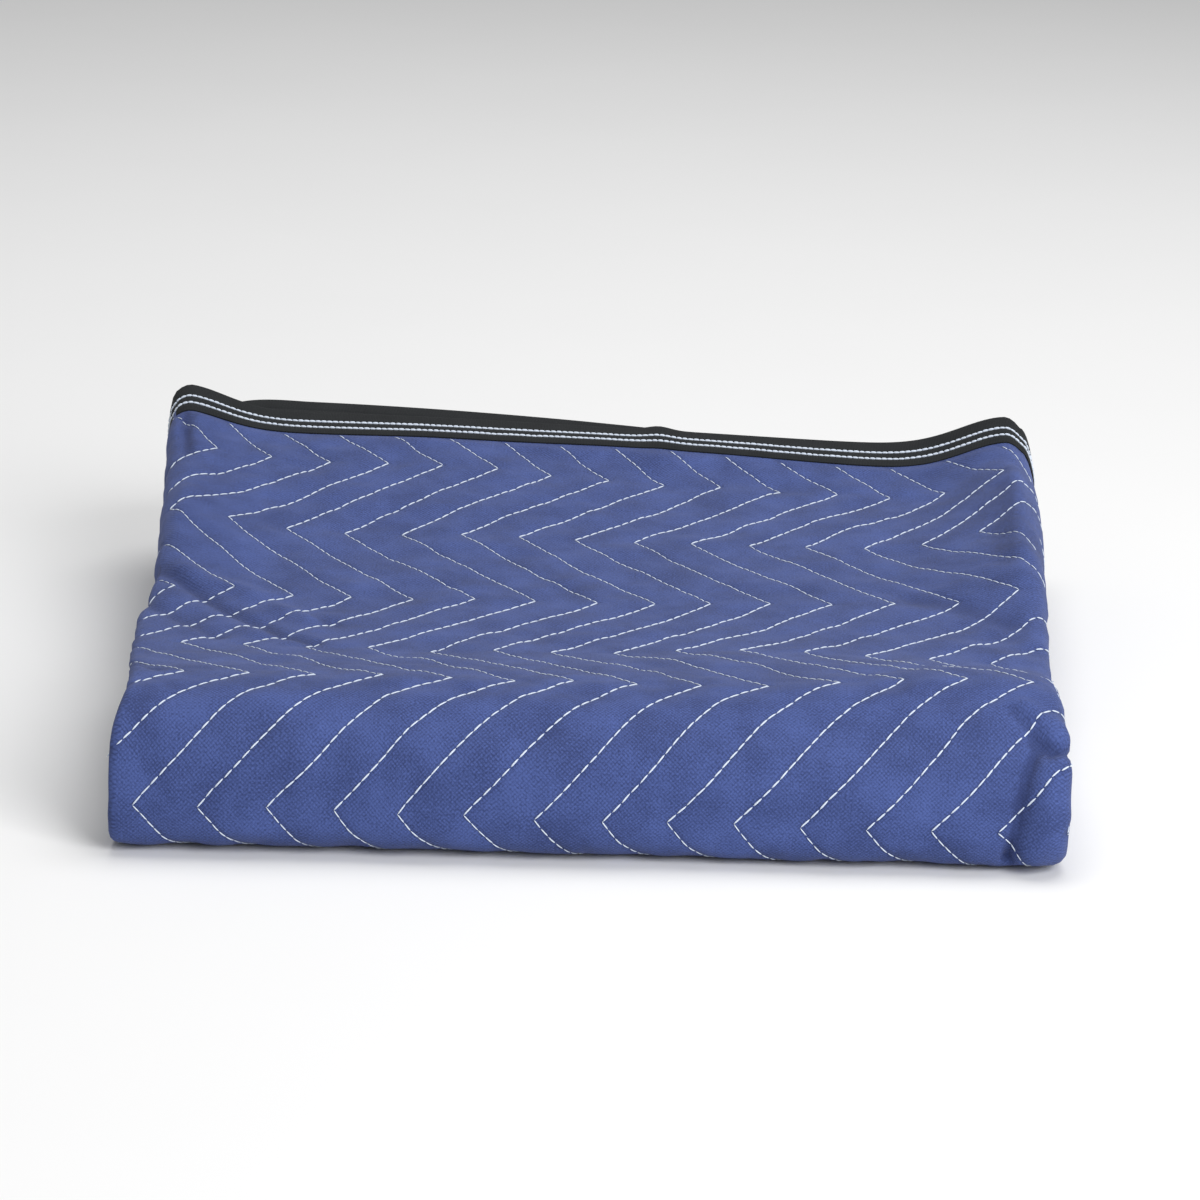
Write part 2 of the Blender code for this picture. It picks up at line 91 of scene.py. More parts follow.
MM = 0.001
BODY = "root"
PLACE = "cloth_place"       # point attribute, in metres: across, along, depth of the creases, which sets their painted shade
NORMAL = "face_out"         # point attribute: away from the cloth's face
MERGE_DISTANCE = 1e-6       # in metres: points as near as this become one
SHORTEST = 1e-9             # the least length that a direction is divided by


# ---------------------------------------------------------------- small maths
def smooth_step(value: np.ndarray) -> np.ndarray:
    """A soft step from 0 to 1 as the value goes from 0 to 1."""
    t = np.clip(value, 0.0, 1.0)
    return t * t * (3.0 - 2.0 * t)


def curve_through(knots: Sequence[float], values: Sequence[float], at: np.ndarray) -> np.ndarray:
    """Reads a smooth curve through a table.

    Args:
        knots: the places that the table knows, rising.
        values: the value at each of those places.
        at: where to read the curve; outside the table it keeps its end values.

    Returns:
        The curve's value at each place.
    """
    x = np.asarray(knots, float)
    y = np.asarray(values, float)
    at = np.clip(at, x[0], x[-1])
    i = np.clip(np.searchsorted(x, at, side="right") - 1, 0, len(x) - 2)
    slopes = np.empty_like(y)
    slopes[0] = (y[1] - y[0]) / (x[1] - x[0])
    slopes[-1] = (y[-1] - y[-2]) / (x[-1] - x[-2])
    slopes[1:-1] = (y[2:] - y[:-2]) / (x[2:] - x[:-2])
    span = x[i + 1] - x[i]
    t = (at - x[i]) / span
    bend = span * t * (1 - t) * (slopes[i] * (1 - t) - slopes[i + 1] * t)
    return y[i] + (y[i + 1] - y[i]) * smooth_step(t) + bend


def read_table(table: Sequence[tuple], at: np.ndarray) -> list[np.ndarray]:
    """Smooth curves through a table's columns, read by the values of its first one."""
    knots, *columns = zip(*table)
    return [curve_through(knots, column, at) for column in columns]


# ---------------------------------------------------------------- named stretches of the folds
class Run(IntEnum):
    """The stretches of the strip, from the top bound edge to the lower one."""

    TOP = 0
    FRONT_ROLL = 1
    BOTTOM = 2
    BACK_FOLD = 3
    UPPER = 4
    INNER_ROLL = 5
    LOWER = 6


class Panel(IntEnum):
    """The stretches of the folded section, from the outer side edge to the inner one."""

    OUTER_EDGE = 0
    WIDE_FOLD = 1
    TOP_LAYER = 2
    LEFT_FOLD = 3
    SECOND_LAYER = 4
    INNER_FOLD = 5
    INNER_EDGE = 6


class Leg(Enum):
    """The two legs of a chevron, named by the way they run from the bound edge to the roll."""

    LEFTWARD = "leftward"
    RIGHTWARD = "rightward"


class Height(NamedTuple):
    """Height of the pressed stack at its left and right side, at a place behind its front."""

    y: float
    left: float
    right: float


class Lift(NamedTuple):
    """How the outermost layer stands off the next one round a place."""

    x: float
    y: float
    reach_x: float
    reach_y: float
    height: float


class Flare(NamedTuple):
    """How far the side folds stand outside their straight lines at a station of the strip."""

    station: float
    left: float
    right: float


class Stagger(NamedTuple):
    """How far a layer's bound edge stands out behind the top one, along the folded section."""

    station: float
    top: float
    lower: float


class Crease(NamedTuple):
    """A soft trough (below nought) or ridge along a few points on the flat cloth."""

    points: tuple
    width: float
    height: float


class Stretch(NamedTuple):
    """One stretch of a folded line: straight, or a half-turn where turn isn't nought."""

    length: object
    radius: float
    turn: int


PRESSED_HEIGHTS = (
    Height(-40.0, 70.0, 63.5),
    Height(20.0, 69.5, 57.5),
    Height(60.0, 70.5, 68.0),
    Height(105.0, 63.0, 63.0),
    Height(155.0, 56.5, 52.5),
    Height(248.0, 53.0, 58.5),
    Height(340.0, 62.5, 61.0),
    Height(432.0, 77.5, 63.0),
    Height(500.0, 88.0, 76.5),
    Height(560.0, 95.5, 88.5),
)

LIFTS = {
    "left back corner": Lift(-238.0, 510.0, 34.0, 100.0, 12.0),
    "right back corner": Lift(240.0, 505.0, 40.0, 70.0, 17.0),
    "left half of the back": Lift(-100.0, 430.0, 110.0, 110.0, 4.0),
    "left margin": Lift(-230.0, 320.0, 45.0, 80.0, 16.0),
    "back half of the right margin": Lift(240.0, 400.0, 38.0, 60.0, 23.0),
    "front half of the right margin": Lift(238.0, 295.0, 42.0, 70.0, 22.0),
    "right end of the roll": Lift(190.0, 70.0, 60.0, 45.0, 8.0),
    "ridge across the valley": Lift(105.0, 145.0, 105.0, 50.0, 7.5),
    "under the middle of the tape": Lift(45.0, 474.0, 85.0, 26.0, 3.5),
    "kink in the bound edge": Lift(37.0, 522.0, 9.0, 40.0, 2.5),
}

SIDE_FLARE = (
    Flare(0.00, 17.0, 25.0),
    Flare(0.18, 11.0, 22.0),
    Flare(0.36, 7.0, 17.0),
    Flare(0.56, 4.3, 9.0),
    Flare(0.62, 6.2, 7.3),
    Flare(0.69, 4.5, 5.5),
    Flare(0.75, 3.0, 4.0),
    Flare(0.85, 0.3, 2.0),
    Flare(0.93, -4.0, 0.8),
    Flare(1.10, -4.5, 0.0),
    Flare(1.35, -0.5, -0.3),
    Flare(2.00, -1.0, -1.0),
    Flare(2.60, 1.0, -2.0),
    Flare(3.00, 3.0, 1.0),
    Flare(4.00, 4.0, 2.0),
    Flare(4.50, -1.0, -4.0),
    Flare(5.00, -2.0, -2.0),
    Flare(6.00, -2.0, -2.0),
    Flare(6.50, -3.0, 1.0),
    Flare(7.00, 3.0, 9.0),
)

EDGE_STAGGER = (
    Stagger(0.0, 14.0, 3.0),
    Stagger(0.5, 7.0, 8.0),
    Stagger(0.9, 0.5, 1.0),
    Stagger(1.0, 0.0, 0.0),
    Stagger(2.0, 0.0, 0.0),
    Stagger(3.0, 0.0, 0.0),
    Stagger(4.0, 3.0, 1.0),
    Stagger(4.08, 34.0, 4.0),
    Stagger(4.16, 36.0, 5.0),
    Stagger(4.3, 33.0, 6.0),
    Stagger(4.45, 26.0, 7.0),
    Stagger(4.6, 16.0, 7.0),
    Stagger(4.8, 4.0, 2.0),
    Stagger(5.0, 0.0, 0.0),
    Stagger(6.0, 0.0, 0.0),
    Stagger(6.3, -2.0, 2.0),
    Stagger(7.0, 4.0, -4.0),
)

# Creases of the outermost layer, as (across, along) on the flat cloth.
CREASES = {
    "left valley": Crease(((-236, 222), (-207, 261), (-193, 281), (-174, 302), (-157, 327),
                           (-141, 342)), 4.0, -3.0),
    "lip behind the left valley": Crease(((-216, 235), (-200, 246), (-181, 256), (-162, 278),
                                          (-146, 296)), 7.5, 3.2),
    "lip before the left valley": Crease(((-222, 262), (-207, 285), (-190, 306), (-170, 330)),
                                         6.0, 1.8),
    "second left valley": Crease(((-240, 258), (-226, 284), (-208, 312), (-190, 334)), 4.5, -2.4),
    "short fold beside them": Crease(((-147, 286), (-132, 302)), 4.0, -1.8),
    "left end of the valley": Crease(((-240, 398), (-230, 407), (-212, 438)), 4.5, -2.4),
    "left back tuck": Crease(((-233, 34), (-227, 84)), 3.6, -3.4),
    "left margin": Crease(((-224, 60), (-221, 130), (-224, 175)), 7.0, 1.6),
    "right margin": Crease(((240, 70), (234, 165), (231, 250), (227, 312)), 8.0, 3.0),
    "hollow beside the right margin": Crease(((226, 95), (221, 165), (218, 215)), 8.0, -1.8),
    "right valley": Crease(((168, 250), (182, 256), (199, 270), (216, 288)), 8.0, -2.6),
    "right bulge": Crease(((183, 320), (212, 338)), 13.0, 3.2),
    "pinch": Crease(((211, 486), (219, 491)), 3.0, -7.0),
    "pucker over the pinch": Crease(((201, 470), (212, 483)), 2.8, -2.4),
    "pucker beside the pinch": Crease(((219, 491), (233, 487)), 2.8, -3.0),
    "pleat over the pinch": Crease(((206, 468), (221, 481)), 5.0, 2.2),
    "crease down the roll": Crease(((213, 489), (207, 502), (204, 514), (202, 528), (199, 552)),
                                   2.7, -5.0),
    "flap on the roll": Crease(((219, 499), (216, 522), (211, 549)), 7.5, 3.4),
}


# ---------------------------------------------------------------- the folds
class FoldPath:
    """A folded line in a plane, as straight stretches joined by half-turns.

    Its start and the lengths of its stretches may be arrays, one value for each point.
    """

    def __init__(self, start: np.ndarray, heading: tuple, stretches: Sequence[Stretch]) -> None:
        """Walks the stretches once and keeps where each one starts and which way it heads.

        Args:
            start: the first point or points, in the plane.
            heading: the first stretch's direction.
            stretches: the stretches in order.
        """
        self.stretches = stretches
        self.starts = []
        point = np.asarray(start, float)
        way = np.asarray(heading, float)
        for stretch in stretches:
            self.starts.append((point, way))
            left = np.array((-way[1], way[0]))
            if stretch.turn:
                point = point + left * (2 * stretch.radius * stretch.turn)
                way = -way
            else:
                point = point + way * np.asarray(stretch.length, float)[..., None]

    def at(self, index: np.ndarray, along: np.ndarray, offset: np.ndarray) -> np.ndarray:
        """Places points on the folded line.

        Args:
            index: each point's stretch.
            along: its share of that stretch.
            offset: how far it stands to the left of the line.

        Returns:
            The points in the plane, one row each.
        """
        found = np.zeros((len(index), 2))
        for number, stretch in enumerate(self.stretches):
            chosen = index == number
            if not chosen.any():
                continue
            start, way = self.starts[number]
            start = np.broadcast_to(start, found.shape)[chosen]
            left = np.array((-way[1], way[0]))
            share = along[chosen][:, None]
            off = offset[chosen][:, None]
            if stretch.turn:
                reach = stretch.radius - stretch.turn * off
                angle = math.pi * share
                centre = start + left * (stretch.radius * stretch.turn)
                found[chosen] = (
                    centre
                    - left * (stretch.turn * reach * np.cos(angle))
                    + way * (reach * np.sin(angle))
                )
            else:
                length = np.broadcast_to(stretch.length, along.shape)[chosen][:, None]
                found[chosen] = start + way * (share * length) + left * off
        return found


class Section(NamedTuple):
    """The folded section of the strip, and where its left and its right folds begin."""

    path: FoldPath
    left: np.ndarray
    right: np.ndarray


def straight(length: object) -> Stretch:
    """A straight stretch."""
    return Stretch(length, 0.0, 0)


def half_turn(radius: float, turn: int) -> Stretch:
    """A fold: turn is +1 to the left of the heading and -1 to the right."""
    return Stretch(math.pi * radius, radius, turn)


@dataclass
class FoldedStack:
    """The folds of the whole blanket, and how the stack has settled."""

    width: float = 457.0
    depth: float = 503.0
    cloth: float = 3.3              # thickness
    pitch: float = 4.3              # from one layer to the next
    wide_turn: float = 1.5          # radius of the fold round all the layers, in pitches
    tight_turn: float = 0.5         # radius of the two folds of one layer on the next
    run_gap: float = 2.0            # between two runs of the strip
    layers: int = 4                 # in a run; there are as many runs
    lower_edge_inset: float = 5.0
    side_edge_inset: float = 12.0
    roll_squareness: float = 2.35   # 2 is round
    roll_lean: float = 0.38
    roll_lean_reach: float = 90.0
    lift_end: float = 0.8           # share of the front roll where the lifts have ended
    shoulder_reach: float = 10.0    # from the side folds, where the lifts are lower
    shoulder_drop: float = 0.3      # share of the lifts that is lost there
    origin: np.ndarray = field(default_factory=lambda: np.zeros(3))

    def __post_init__(self) -> None:
        """Works out the strip's path and the fixed sizes of the section."""
        strip = (self.layers - 1) * self.pitch + self.cloth
        self.height = self.layers * strip + (self.layers - 1) * self.run_gap
        self.roll = self.height / 2
        back = strip + self.run_gap / 2
        self.top_length = self.depth - self.roll
        run_length = self.depth - back - self.roll
        self.wide = self.wide_turn * self.pitch
        self.tight = self.tight_turn * self.pitch
        self.right_fold = self.width / 2 - self.wide - self.cloth / 2
        self.left_fold = -self.width / 2 + self.tight + self.cloth / 2
        self.strip = FoldPath(
            np.array((self.depth, self.height)),
            (-1.0, 0.0),
            (
                straight(self.top_length),
                half_turn(self.roll, 1),
                straight(run_length),
                half_turn(back, 1),
                straight(run_length),
                half_turn(self.run_gap / 2, -1),
                straight(self.depth - self.lower_edge_inset - self.roll),
            ),
        )
        self.lengths = np.array([float(stretch.length) for stretch in self.strip.stretches])
        self.marks = np.concatenate(([0.0], np.cumsum(self.lengths)))

    def station(self, along: np.ndarray) -> np.ndarray:
        """The station of the strip at a distance from the top bound edge."""
        along = np.asarray(along, float)
        run = np.clip(np.searchsorted(self.marks, along, side="right") - 1, 0, len(Run) - 1)
        return run + (along - self.marks[run]) / self.lengths[run]

    def split(self, station: np.ndarray) -> tuple:
        """A station as its run and the share of that run; past an end it stays in the end run."""
        run = np.clip(np.floor(station), 0, len(Run) - 1).astype(int)
        return run, station - run

    def from_end(self, station: np.ndarray) -> np.ndarray:
        """Distance from the nearer bound edge on the two end runs, and far off elsewhere."""
        run, share = self.split(station)
        far = np.full(len(run), self.top_length)
        far = np.where(run == Run.TOP, share * self.lengths[Run.TOP], far)
        return np.where(run == Run.LOWER, (1 - share) * self.lengths[Run.LOWER], far)

    def section(self, station: np.ndarray) -> Section:
        """The folded section of the strip, one for each station, in (across, depth)."""
        left_flare, right_flare = read_table(SIDE_FLARE, station)
        left = self.left_fold - left_flare
        right = self.right_fold + right_flare
        outer_edge = -self.width / 2 + self.side_edge_inset + 2 * right_flare
        inner_edge = outer_edge + 2 * left_flare
        depth = np.full(len(station), (self.layers - 1) * self.pitch + self.cloth / 2)
        path = FoldPath(
            np.stack((outer_edge, depth), axis=1),
            (1.0, 0.0),
            (
                straight(right - outer_edge),
                half_turn(self.wide, -1),
                straight(right - left),
                half_turn(self.tight, -1),
                straight(right - left),
                half_turn(self.tight, 1),
                straight(right - inner_edge),
            ),
        )
        return Section(path, left, right)

    def bounds_across(self, station: np.ndarray) -> np.ndarray:
        """Where the panels begin and end across the flat cloth: eight falling columns."""
        section = self.section(station)
        count = len(station)
        lengths = [np.broadcast_to(s.length, (count,)) for s in section.path.stretches]
        lengths = np.stack([np.asarray(one, float) for one in lengths], axis=1)
        start = section.right + lengths[:, : Panel.TOP_LAYER].sum(axis=1)
        marks = np.concatenate((np.zeros((count, 1)), np.cumsum(lengths, axis=1)), axis=1)
        return start[:, None] - marks

    def find_across(self, station: np.ndarray, across: np.ndarray) -> tuple:
        """The panel, and the share of it, of points given by their place across the cloth."""
        marks = self.bounds_across(station)
        panel = np.clip((across[:, None] < marks).sum(axis=1) - 1, 0, len(Panel) - 1)
        rows = np.arange(len(panel))
        start = marks[rows, panel]
        share = (start - across) / (start - marks[rows, panel + 1])
        return panel, share

    def lift(self, run: np.ndarray, share: np.ndarray, fold: np.ndarray, x: np.ndarray,
             y: np.ndarray, section: Section) -> np.ndarray:
        """How far the outermost layer stands off, with its side folds opening to suit."""
        opened = smooth_step(2 * (fold - Panel.WIDE_FOLD) - 1)
        opened = opened * (1 - smooth_step(2 * (fold - Panel.LEFT_FOLD)))
        fading = 1 - smooth_step(share / self.lift_end)
        opened = np.where(run == Run.FRONT_ROLL, opened * fading, opened)
        opened = np.where(run > Run.FRONT_ROLL, 0.0, opened)
        inside = np.minimum(x - section.left, section.right - x) / self.shoulder_reach
        opened = opened * (1 - self.shoulder_drop * (1 - np.clip(inside, 0, 1)) ** 2)
        height = np.zeros(len(x))
        for lift in LIFTS.values():
            off = ((x - lift.x) / lift.reach_x) ** 2 + ((y - lift.y) / lift.reach_y) ** 2
            height += lift.height * np.exp(-off)
        return height * opened

    def settle(self, x: np.ndarray, y: np.ndarray, z: np.ndarray) -> np.ndarray:
        """Moves points of the evenly folded stack to where the pressed stack has them."""
        forward = self.roll - y
        upward = z - self.roll
        angle = np.arctan2(upward, forward)
        power = self.roll_squareness
        powers = np.abs(np.cos(angle)) ** power + np.abs(np.sin(angle)) ** power
        squared = np.where(forward > 0, powers ** (-1 / power), 1.0)
        y = self.roll - forward * squared
        z = self.roll + upward * squared
        leaning = smooth_step((self.roll_lean_reach - y) / self.roll_lean_reach)
        y = y - self.roll_lean * (self.roll - z) * leaning
        left, right = read_table(PRESSED_HEIGHTS, y)
        heights = left + (right - left) * (x / self.width + 0.5)
        return np.stack((x, y, np.maximum(z * heights / self.height, 0.0)), axis=1)

    def place(self, station: np.ndarray, panel: np.ndarray, share: np.ndarray,
              outward: np.ndarray) -> np.ndarray:
        """Places points of the sheet in the folded stack.

        Args:
            station: each point's place along the strip, in whole runs and shares.
            panel: the stretch of the folded section that it is on.
            share: how far along that stretch it stands.
            outward: how far it is to the outer side of the cloth's middle.

        Returns:
            The points in the row frame, in millimetres.
        """
        station, panel, share, outward = np.broadcast_arrays(
            *(np.atleast_1d(np.asarray(a, float)) for a in (station, panel, share, outward))
        )
        run, along = self.split(station)
        section = self.section(station)
        across = section.path.at(panel.astype(int), share, outward)
        fold = panel + share
        top, lower = read_table(EDGE_STAGGER, fold)
        fading = 1 - smooth_step(self.from_end(station) / self.top_length)
        shift = np.where(run == Run.TOP, -top, 0.0) + np.where(run == Run.LOWER, lower, 0.0)
        staggered = along + shift * fading / self.lengths[run]
        flat = self.strip.at(run, staggered, across[:, 1])
        lift = self.lift(run, along, fold, across[:, 0], flat[:, 0], section)
        lifted = self.strip.at(run, staggered, across[:, 1] - lift)
        return self.settle(across[:, 0], lifted[:, 0], lifted[:, 1]) + self.origin


# ---------------------------------------------------------------- quilting and relief
@dataclass(frozen=True)
class Quilting:
    """The chevron lines: their spacing across, their reach along and where they start."""

    spacing: float = 31.5
    swing: float = 78.75            # across, from a right point to a left point
    reach: float = 92.5             # along, from a right point to a left point
    first_right_point: float = 71.0
    offset: float = 13.4            # of a line near the middle, at the bound edge
    drift: float = -0.047           # across, for each mm along the seen cloth
    drift_length: float = 578.8
    steps: int = 30                 # mesh rows in a leg

    @property
    def row_pitch(self) -> float:
        """Distance along between two mesh rows."""
        return self.reach / self.steps

    @property
    def column_pitch(self) -> float:
        """Distance across between two mesh columns; a leg crosses one in each row."""
        return self.swing / self.steps

    def base(self, along: np.ndarray) -> np.ndarray:
        """Where the line near the middle would be if it didn't swing."""
        return self.offset + self.drift * np.minimum(along, self.drift_length)

    def line(self, number: float, along: np.ndarray) -> np.ndarray:
        """Where a stitch line is, across, at places along the cloth."""
        turns = (along - self.first_right_point) / self.reach
        swung = np.abs(turns - 2 * np.round(turns / 2))
        return self.base(along) + number * self.spacing - self.swing * swung

    def phase(self, across: np.ndarray, along: np.ndarray) -> np.ndarray:
        """How far a point is from one line to the next, as a share from 0 to 1."""
        return np.mod((across - self.line(0, along)) / self.spacing, 1.0)


@dataclass(frozen=True)
class Lumps:
    """Soft seeded unevenness of the filling."""

    reach: float
    height: float
    seed: int
    size: int = 97

    def at(self, across: np.ndarray, along: np.ndarray) -> np.ndarray:
        """The unevenness at places on the flat cloth."""
        table = np.random.default_rng(self.seed).uniform(-1.0, 1.0, (self.size, self.size))
        x, y = across / self.reach, along / self.reach
        i, j = np.floor(x).astype(int), np.floor(y).astype(int)
        right, up = smooth_step(x - i), smooth_step(y - j)
        near = table[i % self.size, j % self.size] * (1 - right)
        near = near + table[(i + 1) % self.size, j % self.size] * right
        far = table[i % self.size, (j + 1) % self.size] * (1 - right)
        far = far + table[(i + 1) % self.size, (j + 1) % self.size] * right
        return self.height * (near * (1 - up) + far * up)


def crease_height(crease: Crease, across: np.ndarray, along: np.ndarray) -> np.ndarray:
    """How far a crease raises or lowers points of the cloth."""
    point = np.stack((across, along), axis=-1)
    nearest = np.full(len(across), np.inf)
    for start, end in zip(crease.points, crease.points[1:]):
        start, way = np.array(start, float), np.subtract(end, start).astype(float)
        share = np.clip(((point - start) @ way) / (way @ way), 0.0, 1.0)
        nearest = np.minimum(nearest, np.linalg.norm(point - start - share[:, None] * way, axis=1))
    return crease.height * np.exp(-((nearest / crease.width) ** 2))


@dataclass(frozen=True)
class Relief:
    """What stands on the outer face of the cloth: puffs, lumps and creases."""

    puff: float = 0.85              # height halfway between two lines
    fullness: float = 0.8           # below 1 the puffs are flatter on top
    lumps: tuple = (Lumps(38.0, 1.2, 3), Lumps(16.0, 0.9, 11), Lumps(7.0, 0.4, 17))
    deepest: float = -2.4
    fold_start: float = 0.2         # of a side fold, where the relief begins or ends
    fold_fade: float = 0.6
    edge_fade: float = 9.0
    foot_fade: float = 26.0

    def at(self, quilting: Quilting, stack: FoldedStack, bound: float, across: np.ndarray,
           along: np.ndarray, fold: np.ndarray) -> np.ndarray:
        """Reads the relief.

        Args:
            quilting: the chevron lines.
            stack: the folds, which end the relief where the cloth goes under.
            bound: width of the bound margin.
            across: places across the flat cloth.
            along: places along it.
            fold: the same across the folded section, in whole panels and shares.

        Returns:
            The height on the plain face at each point.
        """
        height = self.puff * np.sin(math.pi * quilting.phase(across, along)) ** self.fullness
        for lumps in self.lumps:
            height = height + lumps.at(across, along)
        for crease in CREASES.values():
            height = height + crease_height(crease, across, along)
        return np.maximum(height, self.deepest) * self.shown(stack, bound, along, fold)

    def shown(self, stack: FoldedStack, bound: float, along: np.ndarray,
              fold: np.ndarray) -> np.ndarray:
        """How much of the relief is left at points: none where the cloth goes under."""
        seen = smooth_step((fold - Panel.WIDE_FOLD - self.fold_start) / self.fold_fade)
        gone = smooth_step((fold - Panel.LEFT_FOLD - self.fold_start) / self.fold_fade)
        seen = seen * (1 - gone) * smooth_step((along - bound) / self.edge_fade)
        foot = stack.marks[Run.BOTTOM]
        return seen * (1 - smooth_step((along - foot + self.foot_fade) / self.foot_fade))

    def crease_depth(self, across: np.ndarray, along: np.ndarray) -> np.ndarray:
        """How deep points lie in a crease, for the finish to paint shade into them."""
        depth = np.zeros(len(across))
        for crease in CREASES.values():
            depth = np.maximum(depth, -crease_height(crease, across, along))
        return depth


@dataclass(frozen=True)
class Wander:
    """How the chevrons wander in the plane of the cloth, away from its folds and edges."""

    across: tuple = (Lumps(64.0, 2.4, 31), Lumps(23.0, 0.9, 37))
    along: tuple = (Lumps(72.0, 2.2, 41), Lumps(27.0, 0.9, 43))
    start: float = 37.0             # from the bound edge
    fade: float = 26.0

    def at(self, stack: FoldedStack, across: np.ndarray, along: np.ndarray) -> tuple:
        """Where places on the flat cloth have wandered to, across and along."""
        marks = stack.bounds_across(stack.station(along))
        foot = stack.marks[Run.BOTTOM]
        inside = np.minimum(marks[:, Panel.WIDE_FOLD] - across, across - marks[:, Panel.LEFT_FOLD])
        inside = np.minimum(inside, np.minimum(along - self.start, foot - self.fade - along))
        share = smooth_step(inside / self.fade)
        sideways = sum(lumps.at(across, along) for lumps in self.across)
        lengthways = sum(lumps.at(across, along) for lumps in self.along)
        return across + sideways * share, along + lengthways * share


@dataclass
class ClothFace:
    """The outer face of the folded cloth, read by places on the flat cloth."""

    stack: FoldedStack
    quilting: Quilting = Quilting()
    relief: Relief = Relief()
    wander: Wander = Wander()
    bound_width: float = 30.5
    bound_ramp: float = 6.0
    bound_thickness: float = 1.9
    probe: float = 0.8              # step for reading a slope

    def half_thickness(self, station: np.ndarray, across: np.ndarray) -> np.ndarray:
        """Half the cloth's thickness: full, but pressed thin along its bound edges."""
        marks = self.stack.bounds_across(station)
        side = np.minimum(marks[:, 0] - across, across - marks[:, -1])
        margin = np.minimum(self.stack.from_end(station), side)
        swell = smooth_step((margin - self.bound_width) / self.bound_ramp)
        return (self.bound_thickness + (self.stack.cloth - self.bound_thickness) * swell) / 2

    def outer(self, across: np.ndarray, along: np.ndarray, proud: float = 0.0) -> np.ndarray:
        """Points on the outer face, or a little proud of it, in millimetres."""
        station = self.stack.station(along)
        panel, share = self.stack.find_across(station, across)
        fold = panel + share
        rise = self.relief.at(self.quilting, self.stack, self.bound_width, across, along, fold)
        outward = self.half_thickness(station, across) + rise + proud
        across, along = self.wander.at(self.stack, across, along)
        station = self.stack.station(along)
        panel, share = self.stack.find_across(station, across)
        return self.stack.place(station, panel, share, outward)

    def facing(self, across: np.ndarray, along: np.ndarray) -> np.ndarray:
        """Unit directions away from the outer face."""
        step = self.probe
        leftward = self.outer(across - step, along) - self.outer(across + step, along)
        forward = self.outer(across, along + step) - self.outer(across, along - step)
        facing = np.cross(leftward, forward)
        outward = self.outer(across, along, step) - self.outer(across, along)
        facing *= np.sign(np.sum(facing * outward, axis=1, keepdims=True))
        return facing / np.maximum(np.linalg.norm(facing, axis=1, keepdims=True), SHORTEST)


# ---------------------------------------------------------------- meshes
def new_piece(name: str, mesh: bpy.types.Mesh) -> bpy.types.Object:
    """Adds a mesh to the scene as a named object at the origin."""
    piece = bpy.data.objects.new(name, mesh)
    bpy.context.scene.collection.objects.link(piece)
    return piece


def closed_mesh(name: str, points: np.ndarray, places: np.ndarray,
                faces: Sequence[Sequence[int]]) -> bpy.types.Mesh:
    """Makes a closed smooth mesh, its doubles merged and its faces turned outward.

    Args:
        name: the mesh's name.
        points: the points, in millimetres.
        places: each point's place on the flat cloth or tape, in millimetres.
        faces: the faces by point number.

    Returns:
        The mesh, with the places as a point attribute in metres.
    """
    mesh = bpy.data.meshes.new(name)
    mesh.from_pydata((points * MM).tolist(), [], [list(face) for face in faces])
    attribute = mesh.attributes.new(PLACE, "FLOAT_VECTOR", "POINT")
    attribute.data.foreach_set("vector", (places * MM).astype(np.float32).ravel())
    shell = bmesh.new()
    shell.from_mesh(mesh)
    bmesh.ops.remove_doubles(shell, verts=shell.verts, dist=MERGE_DISTANCE)
    bmesh.ops.recalc_face_normals(shell, faces=shell.faces)
    shell.to_mesh(mesh)
    shell.free()
    mesh.shade_smooth()
    return mesh


class Row(NamedTuple):
    """A row of the sheet's mesh: its place along, a coarser one, and whether it is quilted.

    A quilted row and a fine one have all the lattice's columns.
    """

    along: float
    coarse: float
    quilted: bool
    fine: bool


class Column(NamedTuple):
    """A plain column of the sheet's mesh: a share of a panel, or a margin from a side edge."""

    panel: int
    share: float
    margin: float


def share_of(column_panel: np.ndarray, share: np.ndarray, margin: np.ndarray,
             marks: np.ndarray) -> np.ndarray:
    """The share of their panels of plain columns, with margins turned into shares."""
    rows = np.arange(len(column_panel))
    length = marks[rows, column_panel] - marks[rows, column_panel + 1]
    from_edge = margin / length
    from_edge = np.where(column_panel == Panel.OUTER_EDGE, from_edge, 1 - from_edge)
    return np.where(np.isnan(margin), share, from_edge)


